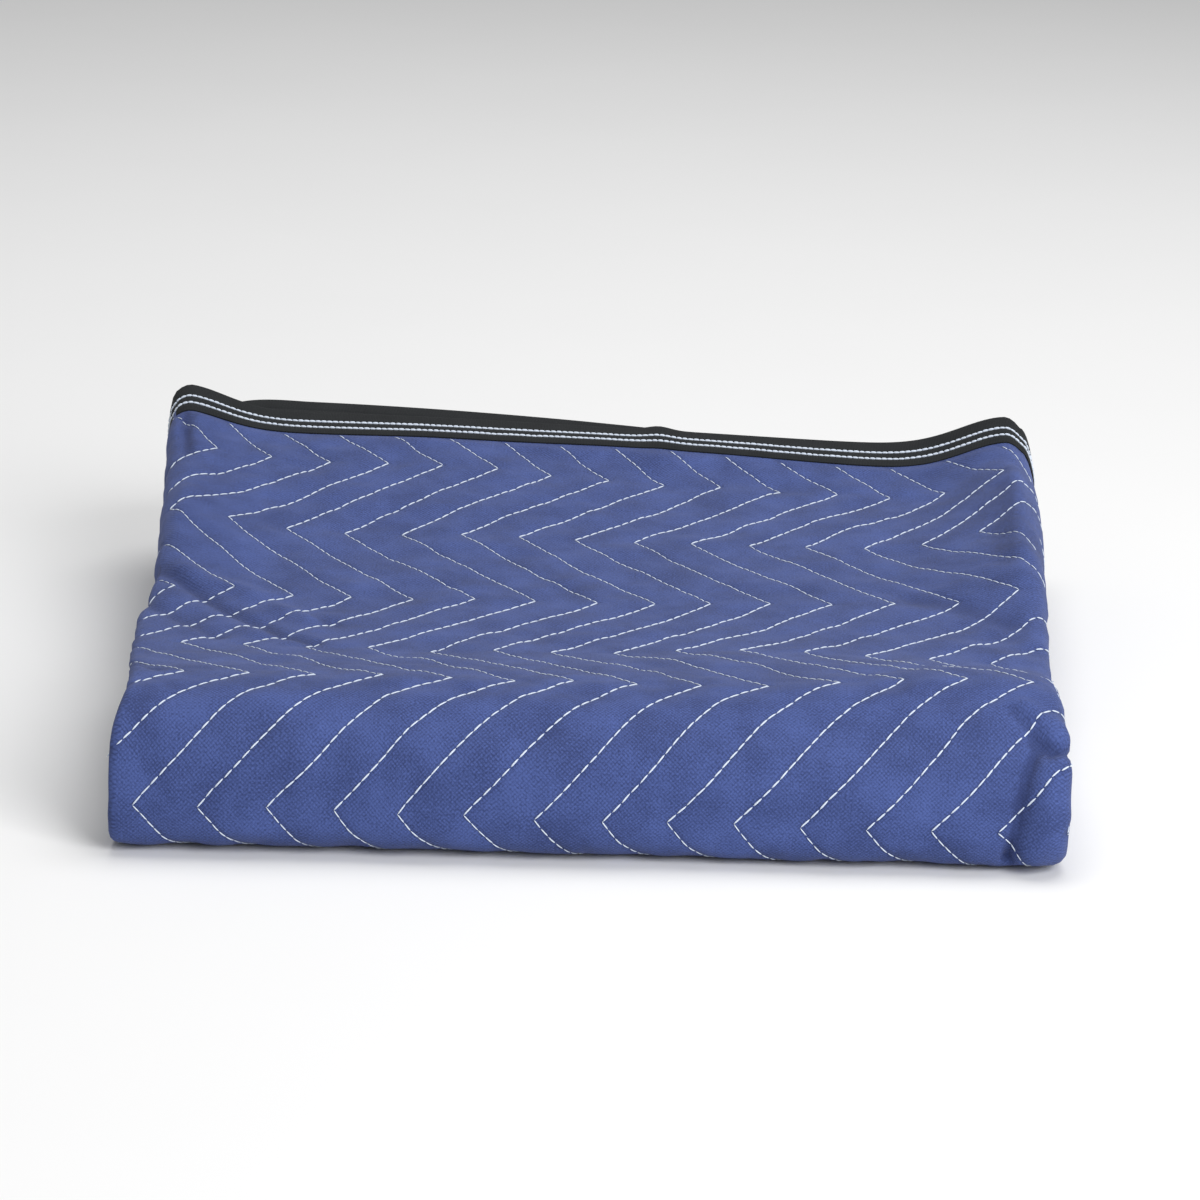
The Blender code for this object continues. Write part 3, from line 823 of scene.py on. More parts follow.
@dataclass
class QuiltedCloth:
    """The folded cloth: one closed sheet, finely meshed where its quilting shows."""

    face: ClothFace
    coarse_rows: int = 3            # quilted rows to a row of the hidden layers
    first_quilted: int = -14        # rows from the first right point
    row_spacing: float = 16.0       # in the runs under the top one
    turn_steps: int = 8
    back_fold_steps: int = 14
    edge_margins: tuple = (0.0, 12.0, 24.0, 30.5, 33.5, 36.5)
    edge_steps: int = 10
    tongue_steps: int = 24
    top_steps: int = 26
    same_point: float = 0.01        # points nearer than this are one

    def rows(self) -> list[Row]:
        """Every row, from the top bound edge to the lower one."""
        stack, quilting = self.face.stack, self.face.quilting
        foot = stack.marks[Run.BOTTOM]
        first = quilting.first_right_point + self.first_quilted * quilting.row_pitch
        margins = [margin for margin in self.edge_margins if margin < first]
        rows = [Row(margin, margin, False, margin > 0) for margin in margins]
        count = int((foot - first) / quilting.row_pitch)
        for number in range(count):
            coarse = number - number % self.coarse_rows
            rows.append(Row(first + number * quilting.row_pitch,
                            first + coarse * quilting.row_pitch, True, True))
        for run in (Run.BOTTOM, Run.BACK_FOLD, Run.UPPER, Run.INNER_ROLL):
            steps = {Run.BACK_FOLD: self.back_fold_steps, Run.INNER_ROLL: self.turn_steps}.get(
                run, round(stack.lengths[run] / self.row_spacing))
            for along in np.linspace(stack.marks[run], stack.marks[run + 1], steps + 1)[:-1]:
                rows.append(Row(along, along, False, False))
        start, end = stack.marks[Run.LOWER], stack.marks[-1]
        steps = round((end - start) / self.row_spacing)
        for along in np.linspace(start, end - self.edge_margins[-1], steps)[:-1]:
            rows.append(Row(along, along, False, False))
        rows += [Row(end - margin, end - margin, False, False)
                 for margin in reversed(self.edge_margins)]
        return rows

    def columns(self) -> list[Column]:
        """Every plain column, from the outer side edge to the inner one."""
        none = math.nan
        columns = [Column(Panel.OUTER_EDGE, none, margin) for margin in self.edge_margins]
        first = self.edge_margins[-1] / self.face.stack.width
        shares = np.linspace(first, 1.0, self.edge_steps + 1)
        columns += [Column(Panel.OUTER_EDGE, share, none) for share in shares[1:]]
        for panel, steps in (
            (Panel.WIDE_FOLD, self.turn_steps),
            (Panel.TOP_LAYER, self.top_steps),
            (Panel.LEFT_FOLD, self.turn_steps),
            (Panel.SECOND_LAYER, self.tongue_steps),
            (Panel.INNER_FOLD, self.turn_steps),
        ):
            for share in np.linspace(0.0, 1.0, steps + 1)[1:]:
                columns.append(Column(panel, share, none))
        columns += [Column(Panel.INNER_EDGE, 1 - share, none) for share in shares[:0:-1]]
        margins = [Column(Panel.INNER_EDGE, none, margin) for margin in self.edge_margins]
        return columns + margins[::-1]

    def ring_points(self, rows: list[Row], columns: list[Column], along: np.ndarray,
                    inner: bool) -> tuple:
        """Points and places of one face on the plain columns, one row of them for each row.

        Args:
            rows: the sheet's rows.
            columns: the plain columns to place.
            along: the place along the cloth of each row.
            inner: whether it is the inner face.

        Returns:
            Arrays of points and of places, rows by columns by three.
        """
        stack = self.face.stack
        shape = (len(rows), len(columns))
        along = np.repeat(along, len(columns))
        panel = np.tile([column.panel for column in columns], len(rows))
        share = np.tile([column.share for column in columns], len(rows))
        margin = np.tile([column.margin for column in columns], len(rows))
        station = stack.station(along)
        marks = stack.bounds_across(station)
        share = share_of(panel, share, margin, marks)
        order = np.arange(len(panel))
        across = marks[order, panel] - share * (marks[order, panel] - marks[order, panel + 1])
        half = self.face.half_thickness(station, across)
        if inner:
            outward = -half
        else:
            relief = self.face.relief
            outward = half + relief.at(self.face.quilting, stack, self.face.bound_width, across,
                                       along, panel + share)
        points = stack.place(station, panel, share, outward)
        places = np.stack((across, along, np.zeros(len(across))), axis=1)
        return points.reshape(*shape, 3), places.reshape(*shape, 3)

    def lattice_points(self, rows: list[Row], plain: np.ndarray) -> tuple:
        """Points and places of the columns that the chevrons run through, right to left.

        Args:
            rows: the sheet's rows.
            plain: places across of the plain columns there, which the other rows keep to.

        Returns:
            Arrays of points and of places, and the columns' numbers.
        """
        stack, quilting = self.face.stack, self.face.quilting
        along = np.array([row.along for row in rows])
        quilted = np.array([row.quilted for row in rows])
        fine = np.array([row.fine for row in rows])
        marks = stack.bounds_across(stack.station(along))
        high, low = marks[:, Panel.WIDE_FOLD], marks[:, Panel.LEFT_FOLD]
        base = quilting.base(along)
        most = math.ceil((high - base)[quilted].max() / quilting.column_pitch)
        least = math.floor((low - base)[quilted].min() / quilting.column_pitch)
        numbers = np.arange(most, least - 1, -1)
        across = base[:, None] + numbers * quilting.column_pitch
        across = np.clip(across, low[:, None], high[:, None])
        nearest = np.abs(across[:, :, None] - plain[:, None, :]).argmin(axis=2)
        snapped = np.take_along_axis(plain, nearest, axis=1)
        across = np.where(fine[:, None], across, snapped)
        flat_along = np.repeat(along, len(numbers))
        points = self.face.outer(across.ravel(), flat_along)
        # the depth of the creases, kept for the painted shade that the cloth's finish puts in them
        depth = self.face.relief.crease_depth(across.ravel(), flat_along)
        places = np.stack((across.ravel(), flat_along, depth), axis=1)
        return points.reshape(*across.shape, 3), places.reshape(*across.shape, 3)

    def faces(self, rows: list[Row], ring: int, lattice: range) -> list[tuple]:
        """The faces between the rings of the rows, with their diagonals along the chevrons."""
        steps = self.face.quilting.steps
        faces = []
        for number, row in enumerate(rows[:-1]):
            leg = (number - self.first_row(rows) + self.first_quilted) % (2 * steps)
            for k in range(ring):
                here, after = number * ring + k, number * ring + (k + 1) % ring
                there, beyond = here + ring, after + ring
                if not row.quilted or k not in lattice:
                    faces.append((here, after, beyond, there))
                elif leg < steps:
                    faces += [(here, after, beyond), (here, beyond, there)]
                else:
                    faces += [(here, after, there), (after, beyond, there)]
        return faces

    def first_row(self, rows: list[Row]) -> int:
        """The number of the first quilted row."""
        return next(number for number, row in enumerate(rows) if row.quilted)

    def build(self) -> bpy.types.Object:
        """Makes the sheet as one closed mesh."""
        rows, columns = self.rows(), self.columns()
        fine = np.array([row.along for row in rows])
        coarse = np.array([row.coarse for row in rows])
        before = [column for column in columns if column.panel < Panel.WIDE_FOLD]
        left_fold = [column for column in columns if column.panel == Panel.LEFT_FOLD]
        after = [column for column in columns if column.panel > Panel.LEFT_FOLD]
        seen = [column for column in columns if column.panel in (Panel.WIDE_FOLD, Panel.TOP_LAYER)]
        start = self.ring_points(rows, before, coarse, False)
        plain = self.ring_points(rows, [before[-1]] + seen, fine, False)[1][:, :, 0]
        lattice = self.lattice_points(rows, plain)
        turned = self.ring_points(rows, left_fold, fine, False)
        end = self.ring_points(rows, after, coarse, False)
        inner = [part[:, ::-1] for part in self.ring_points(rows, columns, coarse, True)]
        parts = (start, lattice, turned, end, inner)
        points = np.concatenate([part[0] for part in parts], axis=1)
        places = np.concatenate([part[1] for part in parts], axis=1)
        ring = points.shape[1]
        lattice_range = range(len(before), len(before) + lattice[0].shape[1] - 1)
        faces = self.faces(rows, ring, lattice_range)
        faces += self.cut_end(points, 0) + self.cut_end(points, len(rows) - 1)
        mesh = closed_mesh("quilted_cloth", points.reshape(-1, 3), places.reshape(-1, 3), faces)
        return new_piece("quilted_cloth", mesh)

    def cut_end(self, points: np.ndarray, row: int) -> list[tuple]:
        """Faces that fill the sheet between its two faces at a bound edge."""
        ring = points.shape[1]
        inner_count = len(self.columns())
        outer = self.distinct(points[row, : ring - inner_count], row * ring)
        inner = [row * ring + ring - 1 - k for k in range(inner_count)]
        pairs = min(len(outer), len(inner)) - 1
        return [(outer[k], outer[k + 1], inner[k + 1], inner[k]) for k in range(pairs)]

    def distinct(self, points: np.ndarray, first: int) -> list[int]:
        """Numbers of the points that differ from the one before."""
        step = np.linalg.norm(np.diff(points, axis=0), axis=1)
        return [first] + [first + 1 + int(k) for k in np.nonzero(step > self.same_point)[0]]


# ---------------------------------------------------------------- binding tape
@dataclass(frozen=True)
class TapeProfile:
    """The tape's folded cross-section, as (distance from the edge, outward)."""

    width: float = 30.0
    inner: float = 1.35             # from the cloth's middle to the tape
    thickness: float = 0.6
    nose: float = 0.95              # from the edge to the centre of its turn there
    hem_drop: float = 0.3           # the hem is drawn down on to the cloth
    hem_reach: float = 5.0
    seams: tuple = (14.2, 22.2)     # of its two stitch lines, from the edge
    seam_dent: float = 0.32
    seam_reach: float = 1.3
    nose_steps: int = 7
    stations: tuple = (2.2, 5.5, 9.0, 12.4, 13.4, 14.2, 15.0, 16.0, 18.2,
                       20.4, 21.4, 22.2, 23.0, 24.0, 26.5, 28.6, 29.6, 30.0)

    def side(self, reach: float) -> list[tuple]:
        """One half of the profile, from the nose to the hem, at a distance off the cloth."""
        half = []
        for step in range(self.nose_steps):
            angle = math.pi / 2 * step / self.nose_steps
            half.append((self.nose - reach * math.cos(angle), reach * math.sin(angle)))
        for distance in self.stations:
            half.append((distance, reach - self.sunk(distance)))
        return half

    def sunk(self, distance: float) -> float:
        """How far the tape is drawn in at a distance from the edge."""
        hem = (distance - self.width + self.hem_reach) / self.hem_reach
        hem = min(max(hem, 0.0), 1.0)
        dent = sum(math.exp(-((distance - seam) / self.seam_reach) ** 2) for seam in self.seams)
        return self.hem_drop * hem * hem * (3 - 2 * hem) + self.seam_dent * dent

    def rings(self) -> tuple:
        """The outer and the inner line of the profile, each from hem to hem round the nose."""
        lines = []
        for reach in (self.inner + self.thickness, self.inner):
            half = self.side(reach)
            below = [(distance, -outward) for distance, outward in half[:0:-1]]
            lines.append(below + half)
        return tuple(np.array(one) for one in lines)


@dataclass
class BindingTape:
    """A charcoal tape folded over one edge of the cloth and sewn down along two lines."""

    name: str
    node: str
    face: ClothFace
    profile: TapeProfile = TapeProfile()
    waviness: Lumps = Lumps(23.0, 0.45, 5)
    hem_waviness: Lumps = Lumps(47.0, 1.3, 8)
    ripple_start: float = 1.0       # from the cloth's middle; the nose has no ripples
    ripple_share: float = 0.6
    pitch: float = 6.0
    fold_pitch: float = 1.1
    fewest_steps: int = 6           # in one stretch of the edge

    def points_at(self, edge: np.ndarray, distance: np.ndarray, outward: np.ndarray) -> np.ndarray:
        """Places points of the tape in the folded stack; each kind of edge has its own way."""
        raise NotImplementedError

    def stops(self) -> np.ndarray:
        """The places along the edge where the tape has a ring of points."""
        raise NotImplementedError

    def rippled(self, edge: np.ndarray, distance: np.ndarray, outward: np.ndarray) -> tuple:
        """The tape's slight unevenness: its hem wanders and its faces ripple."""
        away = smooth_step(distance / self.profile.width)
        distance = distance + self.hem_waviness.at(edge, distance * 0) * away
        flat = smooth_step(np.abs(outward) - self.ripple_start)
        ripple = self.waviness.at(edge, distance) * flat * self.ripple_share
        return distance, outward + np.sign(outward) * np.abs(ripple) * away

    def spread(self, marks: np.ndarray, folded: Sequence[int]) -> np.ndarray:
        """Spreads places from mark to mark along the edge.

        Args:
            marks: where the stretches of the edge begin, and where the last one ends.
            folded: the numbers of the stretches that turn, where places are closer together.

        Returns:
            The places, with both ends.
        """
        stops = []
        for number, (start, end) in enumerate(zip(marks, marks[1:])):
            pitch = self.fold_pitch if number in folded else self.pitch
            steps = max(round(abs(end - start) / pitch), self.fewest_steps)
            stops.append(np.linspace(start, end, steps + 1)[:-1])
        return np.concatenate(stops + [marks[-1:]])

    def build(self) -> bpy.types.Object:
        """Makes the tape as one closed mesh."""
        outer, inner = self.profile.rings()
        profile = np.concatenate((outer, inner[::-1]))
        stops = self.stops()
        ring = len(profile)
        edge = np.repeat(stops, ring)
        distance = np.tile(profile[:, 0], len(stops))
        outward = np.tile(profile[:, 1], len(stops))
        distance, outward = self.rippled(edge, distance, outward)
        points = self.points_at(edge, distance, outward)
        steps = np.linalg.norm(np.diff(profile, axis=0), axis=1)
        girth = np.tile(np.concatenate(([0.0], np.cumsum(steps))), len(stops))
        places = np.stack((edge, girth, np.zeros(len(edge))), axis=1)
        faces = []
        for number in range(len(stops) - 1):
            for k in range(ring):
                here, after = number * ring + k, number * ring + (k + 1) % ring
                faces.append((here, after, after + ring, here + ring))
        half = len(outer)
        for base in (0, (len(stops) - 1) * ring):
            for k in range(half - 1):
                faces.append((base + k, base + k + 1, base + ring - 2 - k, base + ring - 1 - k))
        return new_piece(self.name, closed_mesh(self.name, points, places, faces))

    def seam(self, distance: float, stops: np.ndarray, proud: float) -> tuple:
        """The points and facings of a stitch line on the tape's outer face."""
        outward = self.profile.inner + self.profile.thickness - self.profile.sunk(distance)
        flat = np.full(len(stops), distance)
        line, lifted = (
            self.points_at(stops, *self.rippled(stops, flat, np.full(len(stops), outward + rise)))
            for rise in (proud, proud + 1.0)
        )
        return line, lifted - line


@dataclass
class EndTape(BindingTape):
    """The tape over the top or the lower bound edge, folded with the cloth's four layers."""

    lower: bool = False

    def along(self, distance: np.ndarray) -> np.ndarray:
        """The place along the cloth at a distance from this edge."""
        return self.face.stack.marks[-1] - distance if self.lower else distance

    def points_at(self, edge: np.ndarray, distance: np.ndarray, outward: np.ndarray) -> np.ndarray:
        """Places points by their place across the cloth, along this end's edge."""
        stack = self.face.stack
        station = stack.station(self.along(distance))
        panel, share = stack.find_across(station, edge)
        return stack.place(station, panel, share, outward)

    def stops(self) -> np.ndarray:
        """Places across the cloth, closer together in the folds."""
        stack = self.face.stack
        marks = stack.bounds_across(stack.station(self.along(np.zeros(1))))[0]
        return self.spread(marks, (Panel.WIDE_FOLD, Panel.LEFT_FOLD, Panel.INNER_FOLD))


@dataclass
class SideTape(BindingTape):
    """The tape over one long side edge, from one end's tape to the other's."""

    panel: int = Panel.OUTER_EDGE
    clearance: float = 0.4
    pitch: float = 9.0
    fold_pitch: float = 4.0

    def points_at(self, edge: np.ndarray, distance: np.ndarray, outward: np.ndarray) -> np.ndarray:
        """Places points by their place along the cloth, beside this edge."""
        stack = self.face.stack
        station = stack.station(edge)
        marks = stack.bounds_across(station)
        length = marks[:, self.panel] - marks[:, self.panel + 1]
        share = distance / length if self.panel == Panel.OUTER_EDGE else 1 - distance / length
        return stack.place(station, self.panel, share, outward)

    def stops(self) -> np.ndarray:
        """Places along the cloth, closer together in the rolls and the back fold."""
        stack = self.face.stack
        start = self.profile.width + self.clearance
        marks = np.clip(stack.marks, start, stack.marks[-1] - start)
        return self.spread(marks, (Run.FRONT_ROLL, Run.BACK_FOLD, Run.INNER_ROLL))


# ---------------------------------------------------------------- node trees
@dataclass
class NodeWriter:
    """Adds nodes to a tree, with their inputs given as sockets to join or values to set."""

    tree: bpy.types.NodeTree

    def add(self, kind: str, feed: dict | None = None, **settings: object) -> bpy.types.Node:
        """Adds one node.

        Args:
            kind: the node's type.
            feed: its inputs by identifier, name or number.
            settings: its own properties.

        Returns:
            The node.
        """
        node = self.tree.nodes.new(kind)
        for name, value in settings.items():
            setattr(node, name, value)
        self.feed(node, feed or {})
        return node

    def feed(self, node: bpy.types.Node, values: dict) -> None:
        """Joins sockets to a node's inputs and sets its other inputs to plain values."""
        for key, value in values.items():
            socket = self.socket(node, key)
            if isinstance(value, bpy.types.NodeSocket):
                self.tree.links.new(value, socket)
            else:
                socket.default_value = value

    @staticmethod
    def socket(node: bpy.types.Node, key: int | str) -> bpy.types.NodeSocket:
        """Finds an input by its number, its identifier or its name."""
        if isinstance(key, int):
            return node.inputs[key]
        for socket in node.inputs:
            if socket.identifier == key:
                return socket
        return node.inputs[key]

    def math(self, operation: str, *values: object) -> bpy.types.NodeSocket:
        """Adds a Math node and gives its result."""
        return self.add("ShaderNodeMath", dict(enumerate(values)), operation=operation).outputs[0]

    def weighted(self, shades: Sequence[tuple], start: float = 0.0) -> bpy.types.NodeSocket:
        """Adds up shades, each given with its weight, on top of a start."""
        for shade, weight in shades:
            start = self.math("MULTIPLY_ADD", shade, weight, start)
        return start


def add_sockets(tree: bpy.types.NodeTree, inputs: Sequence[tuple],
                outputs: Sequence[tuple]) -> None:
    """Gives a node group its inputs and its outputs, each as (name, type)."""
    for side, sockets in (("INPUT", inputs), ("OUTPUT", outputs)):
        for name, kind in sockets:
            tree.interface.new_socket(name=name, in_out=side, socket_type=kind)


# ---------------------------------------------------------------- sewing thread
@dataclass(frozen=True)
class Stitch:
    """One kind of stitch, as it lies on the cloth between two needle holes."""

    pitch: float
    length: float
    width: float
    height: float
    dip: float
    seed: int


STITCHES = {
    Leg.LEFTWARD: Stitch(pitch=6.1, length=5.9, width=0.85, height=0.7, dip=0.2, seed=21),
    Leg.RIGHTWARD: Stitch(pitch=5.0, length=5.0, width=0.65, height=0.45, dip=0.25, seed=22),
}
TAPE_STITCH = Stitch(pitch=3.3, length=3.7, width=1.8, height=1.3, dip=0.15, seed=23)


@dataclass
class ThreadLine:
    """Points along a line of stitches and the way that its cloth faces, in millimetres."""

    points: np.ndarray
    facing: np.ndarray

    def trimmed(self, ends: float) -> "ThreadLine | None":
        """The line without a little at both ends, or nothing where too little is left."""
        steps = np.linalg.norm(np.diff(self.points, axis=0), axis=1)
        along = np.concatenate(([0.0], np.cumsum(steps)))
        if along[-1] < 3 * ends:
            return None
        kept = along[(along > ends) & (along < along[-1] - ends)]
        stops = np.concatenate(([ends], kept, [along[-1] - ends]))
        points = [np.interp(stops, along, self.points[:, axis]) for axis in range(3)]
        facing = [np.interp(stops, along, self.facing[:, axis]) for axis in range(3)]
        return ThreadLine(np.stack(points, axis=1), np.stack(facing, axis=1))


@dataclass
class StitchTree:
    """The geometry nodes that lay stitches along lines."""

    sides: int = 6                  # of the thread
    segments: int = 5               # along a stitch
    wander: float = 0.05            # how far a stitch turns out of line, in radians
    smallest: tuple = (0.9, 0.9, 0.85)
    largest: tuple = (1.08, 1.1, 1.15)
    bluntness: float = 1.05         # of a stitch's ends: 1 would be a point

    def build(self) -> bpy.types.NodeTree:
        """Builds the node group: lines in, a mesh of stitches out."""
        tree = bpy.data.node_groups.new("lay_stitches", "GeometryNodeTree")
        lengths = ("Pitch", "Length", "Width", "Height", "Dip")
        inputs = [("Lines", "NodeSocketGeometry")]
        inputs += [(name, "NodeSocketFloat") for name in lengths]
        inputs += [("Seed", "NodeSocketInt"), ("Thread", "NodeSocketMaterial")]
        add_sockets(tree, inputs, [("Stitches", "NodeSocketGeometry")])
        write = NodeWriter(tree)
        given = write.add("NodeGroupInput").outputs
        curve = write.add("GeometryNodeMeshToCurve", {0: given["Lines"]}).outputs[0]
        spaced = write.add("GeometryNodeResampleCurve", {"Curve": curve, "Length": given["Pitch"]},
                           mode="LENGTH").outputs[0]
        tangent = write.add("GeometryNodeInputTangent").outputs[0]
        facing = write.add("GeometryNodeInputNamedAttribute", {"Name": NORMAL},
                           data_type="FLOAT_VECTOR").outputs[0]
        along = write.add("FunctionNodeAlignRotationToVector", {"Vector": tangent}, axis="X")
        upright = write.add("FunctionNodeAlignRotationToVector",
                            {"Rotation": along.outputs[0], "Vector": facing},
                            axis="Z", pivot_axis="X")
        seed = given["Seed"]
        turn = write.add(
            "FunctionNodeRandomValue",
            {"Min": (0.0, 0.0, -self.wander), "Max": (0.0, 0.0, self.wander), "Seed": seed},
            data_type="FLOAT_VECTOR",
        )
        wandering = write.add("FunctionNodeRotateRotation",
                              {"Rotation": upright.outputs[0], "Rotate By": turn.outputs[0]},
                              rotation_space="LOCAL")
        size = write.add(
            "FunctionNodeRandomValue",
            {"Min": self.smallest, "Max": self.largest, "Seed": seed},
            data_type="FLOAT_VECTOR",
        )
        laid = write.add(
            "GeometryNodeInstanceOnPoints",
            {"Points": spaced, "Instance": self.bead(write, given),
             "Rotation": wandering.outputs[0], "Scale": size.outputs[0]},
        )
        real = write.add("GeometryNodeRealizeInstances", {0: laid.outputs[0]}).outputs[0]
        smooth = write.add("GeometryNodeSetShadeSmooth", {0: real}).outputs[0]
        dressed = write.add("GeometryNodeSetMaterial",
                            {"Geometry": smooth, "Material": given["Thread"]}).outputs[0]
        write.add("NodeGroupOutput", {0: dressed})
        return tree

    def bead(self, write: NodeWriter, given: object) -> bpy.types.NodeSocket:
        """One stitch along X: a thread with blunt ends that dip into the cloth."""
        rod = write.add(
            "GeometryNodeMeshCylinder",
            {"Vertices": self.sides, "Side Segments": self.segments, "Radius": 0.5, "Depth": 1.0},
            fill_type="TRIANGLE_FAN",
        ).outputs[0]
        place = write.add("ShaderNodeSeparateXYZ", {0: write.add(
            "GeometryNodeInputPosition").outputs[0]}).outputs
        end = write.math("MULTIPLY", place["Z"], 2.0)
        square = write.math("MULTIPLY", end, end)
        fourth = write.math("MULTIPLY", square, square)
        taper = write.math("SQRT", write.math("SUBTRACT", self.bluntness, fourth))
        across = write.math("MULTIPLY", write.math("MULTIPLY", place["Y"], taper), given["Width"])
        down = write.math("MULTIPLY", write.math("MULTIPLY", place["X"], taper), given["Height"])
        dipped = write.math("SUBTRACT", write.math("MULTIPLY", down, -1.0),
                            write.math("MULTIPLY", square, given["Dip"]))
        along = write.math("MULTIPLY", place["Z"], given["Length"])
        shaped = write.add("ShaderNodeCombineXYZ", {"X": along, "Y": across, "Z": dipped})
        return write.add("GeometryNodeSetPosition",
                         {"Geometry": rod, "Position": shaped.outputs[0]}).outputs[0]


@dataclass
class ThreadWork:
    """All the sewing thread: it turns lines on the cloth into pieces of stitches."""

    tree: bpy.types.NodeTree
    thread: bpy.types.Material

    def sew(self, name: str, lines: Sequence[ThreadLine], stitch: Stitch) -> bpy.types.Object:
        """Lays stitches along lines.

        Args:
            name: the piece's name.
            lines: where the stitches run.
            stitch: their kind.

        Returns:
            The stitches as one plain mesh.
        """
        trimmed = [line.trimmed(stitch.pitch / 2) for line in lines]
        trimmed = [line for line in trimmed if line is not None]
        points = np.concatenate([line.points for line in trimmed]) * MM
        facing = np.concatenate([line.facing for line in trimmed])
        edges, first = [], 0
        for line in trimmed:
            edges += [(first + k, first + k + 1) for k in range(len(line.points) - 1)]
            first += len(line.points)
        guide = bpy.data.meshes.new(f"{name}_lines")
        guide.from_pydata(points.tolist(), edges, [])
        attribute = guide.attributes.new(NORMAL, "FLOAT_VECTOR", "POINT")
        attribute.data.foreach_set("vector", facing.astype(np.float32).ravel())
        piece = new_piece(name, guide)
        modifier = piece.modifiers.new("stitches", "NODES")
        modifier.node_group = self.tree
        values = {
            "Pitch": stitch.pitch * MM,
            "Length": stitch.length * MM,
            "Width": stitch.width * MM,
            "Height": stitch.height * MM,
            "Dip": stitch.dip * MM,
            "Seed": stitch.seed,
            "Thread": self.thread,
        }
        for item in self.tree.interface.items_tree:
            if item.in_out == "INPUT" and item.name in values:
                modifier[item.identifier] = values[item.name]
        evaluated = piece.evaluated_get(bpy.context.evaluated_depsgraph_get())
        mesh = bpy.data.meshes.new_from_object(evaluated)
        piece.modifiers.remove(modifier)
        piece.data = mesh
        mesh.name = name
        bpy.data.meshes.remove(guide)
        return piece


@dataclass
class ChevronLines:
    """Finds where the chevron stitching shows on the folded cloth."""

    face: ClothFace
    proud: float = 0.3
    fold_start: float = 1.04        # from the wide fold, in whole panels and shares
    fold_end: float = 3.94          # to the left fold
    shortest: int = 3               # places in a part worth sewing
    margin: float = 31.5            # from a bound edge to the first stitch
    numbers: tuple = (-12, 13)      # of the leftmost and the rightmost line, from the middle

    def lines(self, leg: Leg, low: float, high: float, folds_only: bool) -> list[ThreadLine]:
        """The seen parts of every leg of one kind.

        Args:
            leg: which legs to follow.
            low: where to start along the cloth.
            high: where to stop.
            folds_only: whether the stitches keep to the side folds.

        Returns:
            The lines with the way that their cloth faces.
        """
        quilting = self.face.quilting
        reach, steps = quilting.reach, quilting.steps
        first = math.floor((low - quilting.first_right_point) / reach)
        last = math.ceil((high - quilting.first_right_point) / reach)
        found = []
        for number in range(first, last):
            if (number % 2 == 0) != (leg is Leg.LEFTWARD):
                continue
            start = quilting.first_right_point + number * reach
            along = start + np.arange(steps + 1) * quilting.row_pitch
            along = along[(along >= low) & (along <= high)]
            if len(along) < self.shortest:
                continue
            for line in range(self.numbers[0], self.numbers[1] + 1):
                found += self.seen_parts(quilting.line(line, along), along, folds_only)
        return found

    def seen_parts(self, across: np.ndarray, along: np.ndarray, folds_only: bool) -> list:
        """Splits one leg into the parts of it that show."""
        stack = self.face.stack
        marks = stack.bounds_across(stack.station(along))
        inside = (across < marks[:, Panel.WIDE_FOLD]) & (across > marks[:, Panel.SECOND_LAYER])
        panel, share = stack.find_across(stack.station(along), across)
        fold = panel + share
        seen = inside & (fold > self.fold_start) & (fold < self.fold_end)
        if folds_only:
            seen &= (panel == Panel.WIDE_FOLD) | (panel == Panel.LEFT_FOLD)
        breaks = np.flatnonzero(np.diff(seen.astype(int))) + 1
        parts = []
        for chosen in np.split(np.arange(len(along)), breaks):
            if len(chosen) < self.shortest or not seen[chosen[0]]:
                continue
            points = self.face.outer(across[chosen], along[chosen], self.proud)
            facing = self.face.facing(across[chosen], along[chosen])
            parts.append(ThreadLine(points, facing))
        return parts


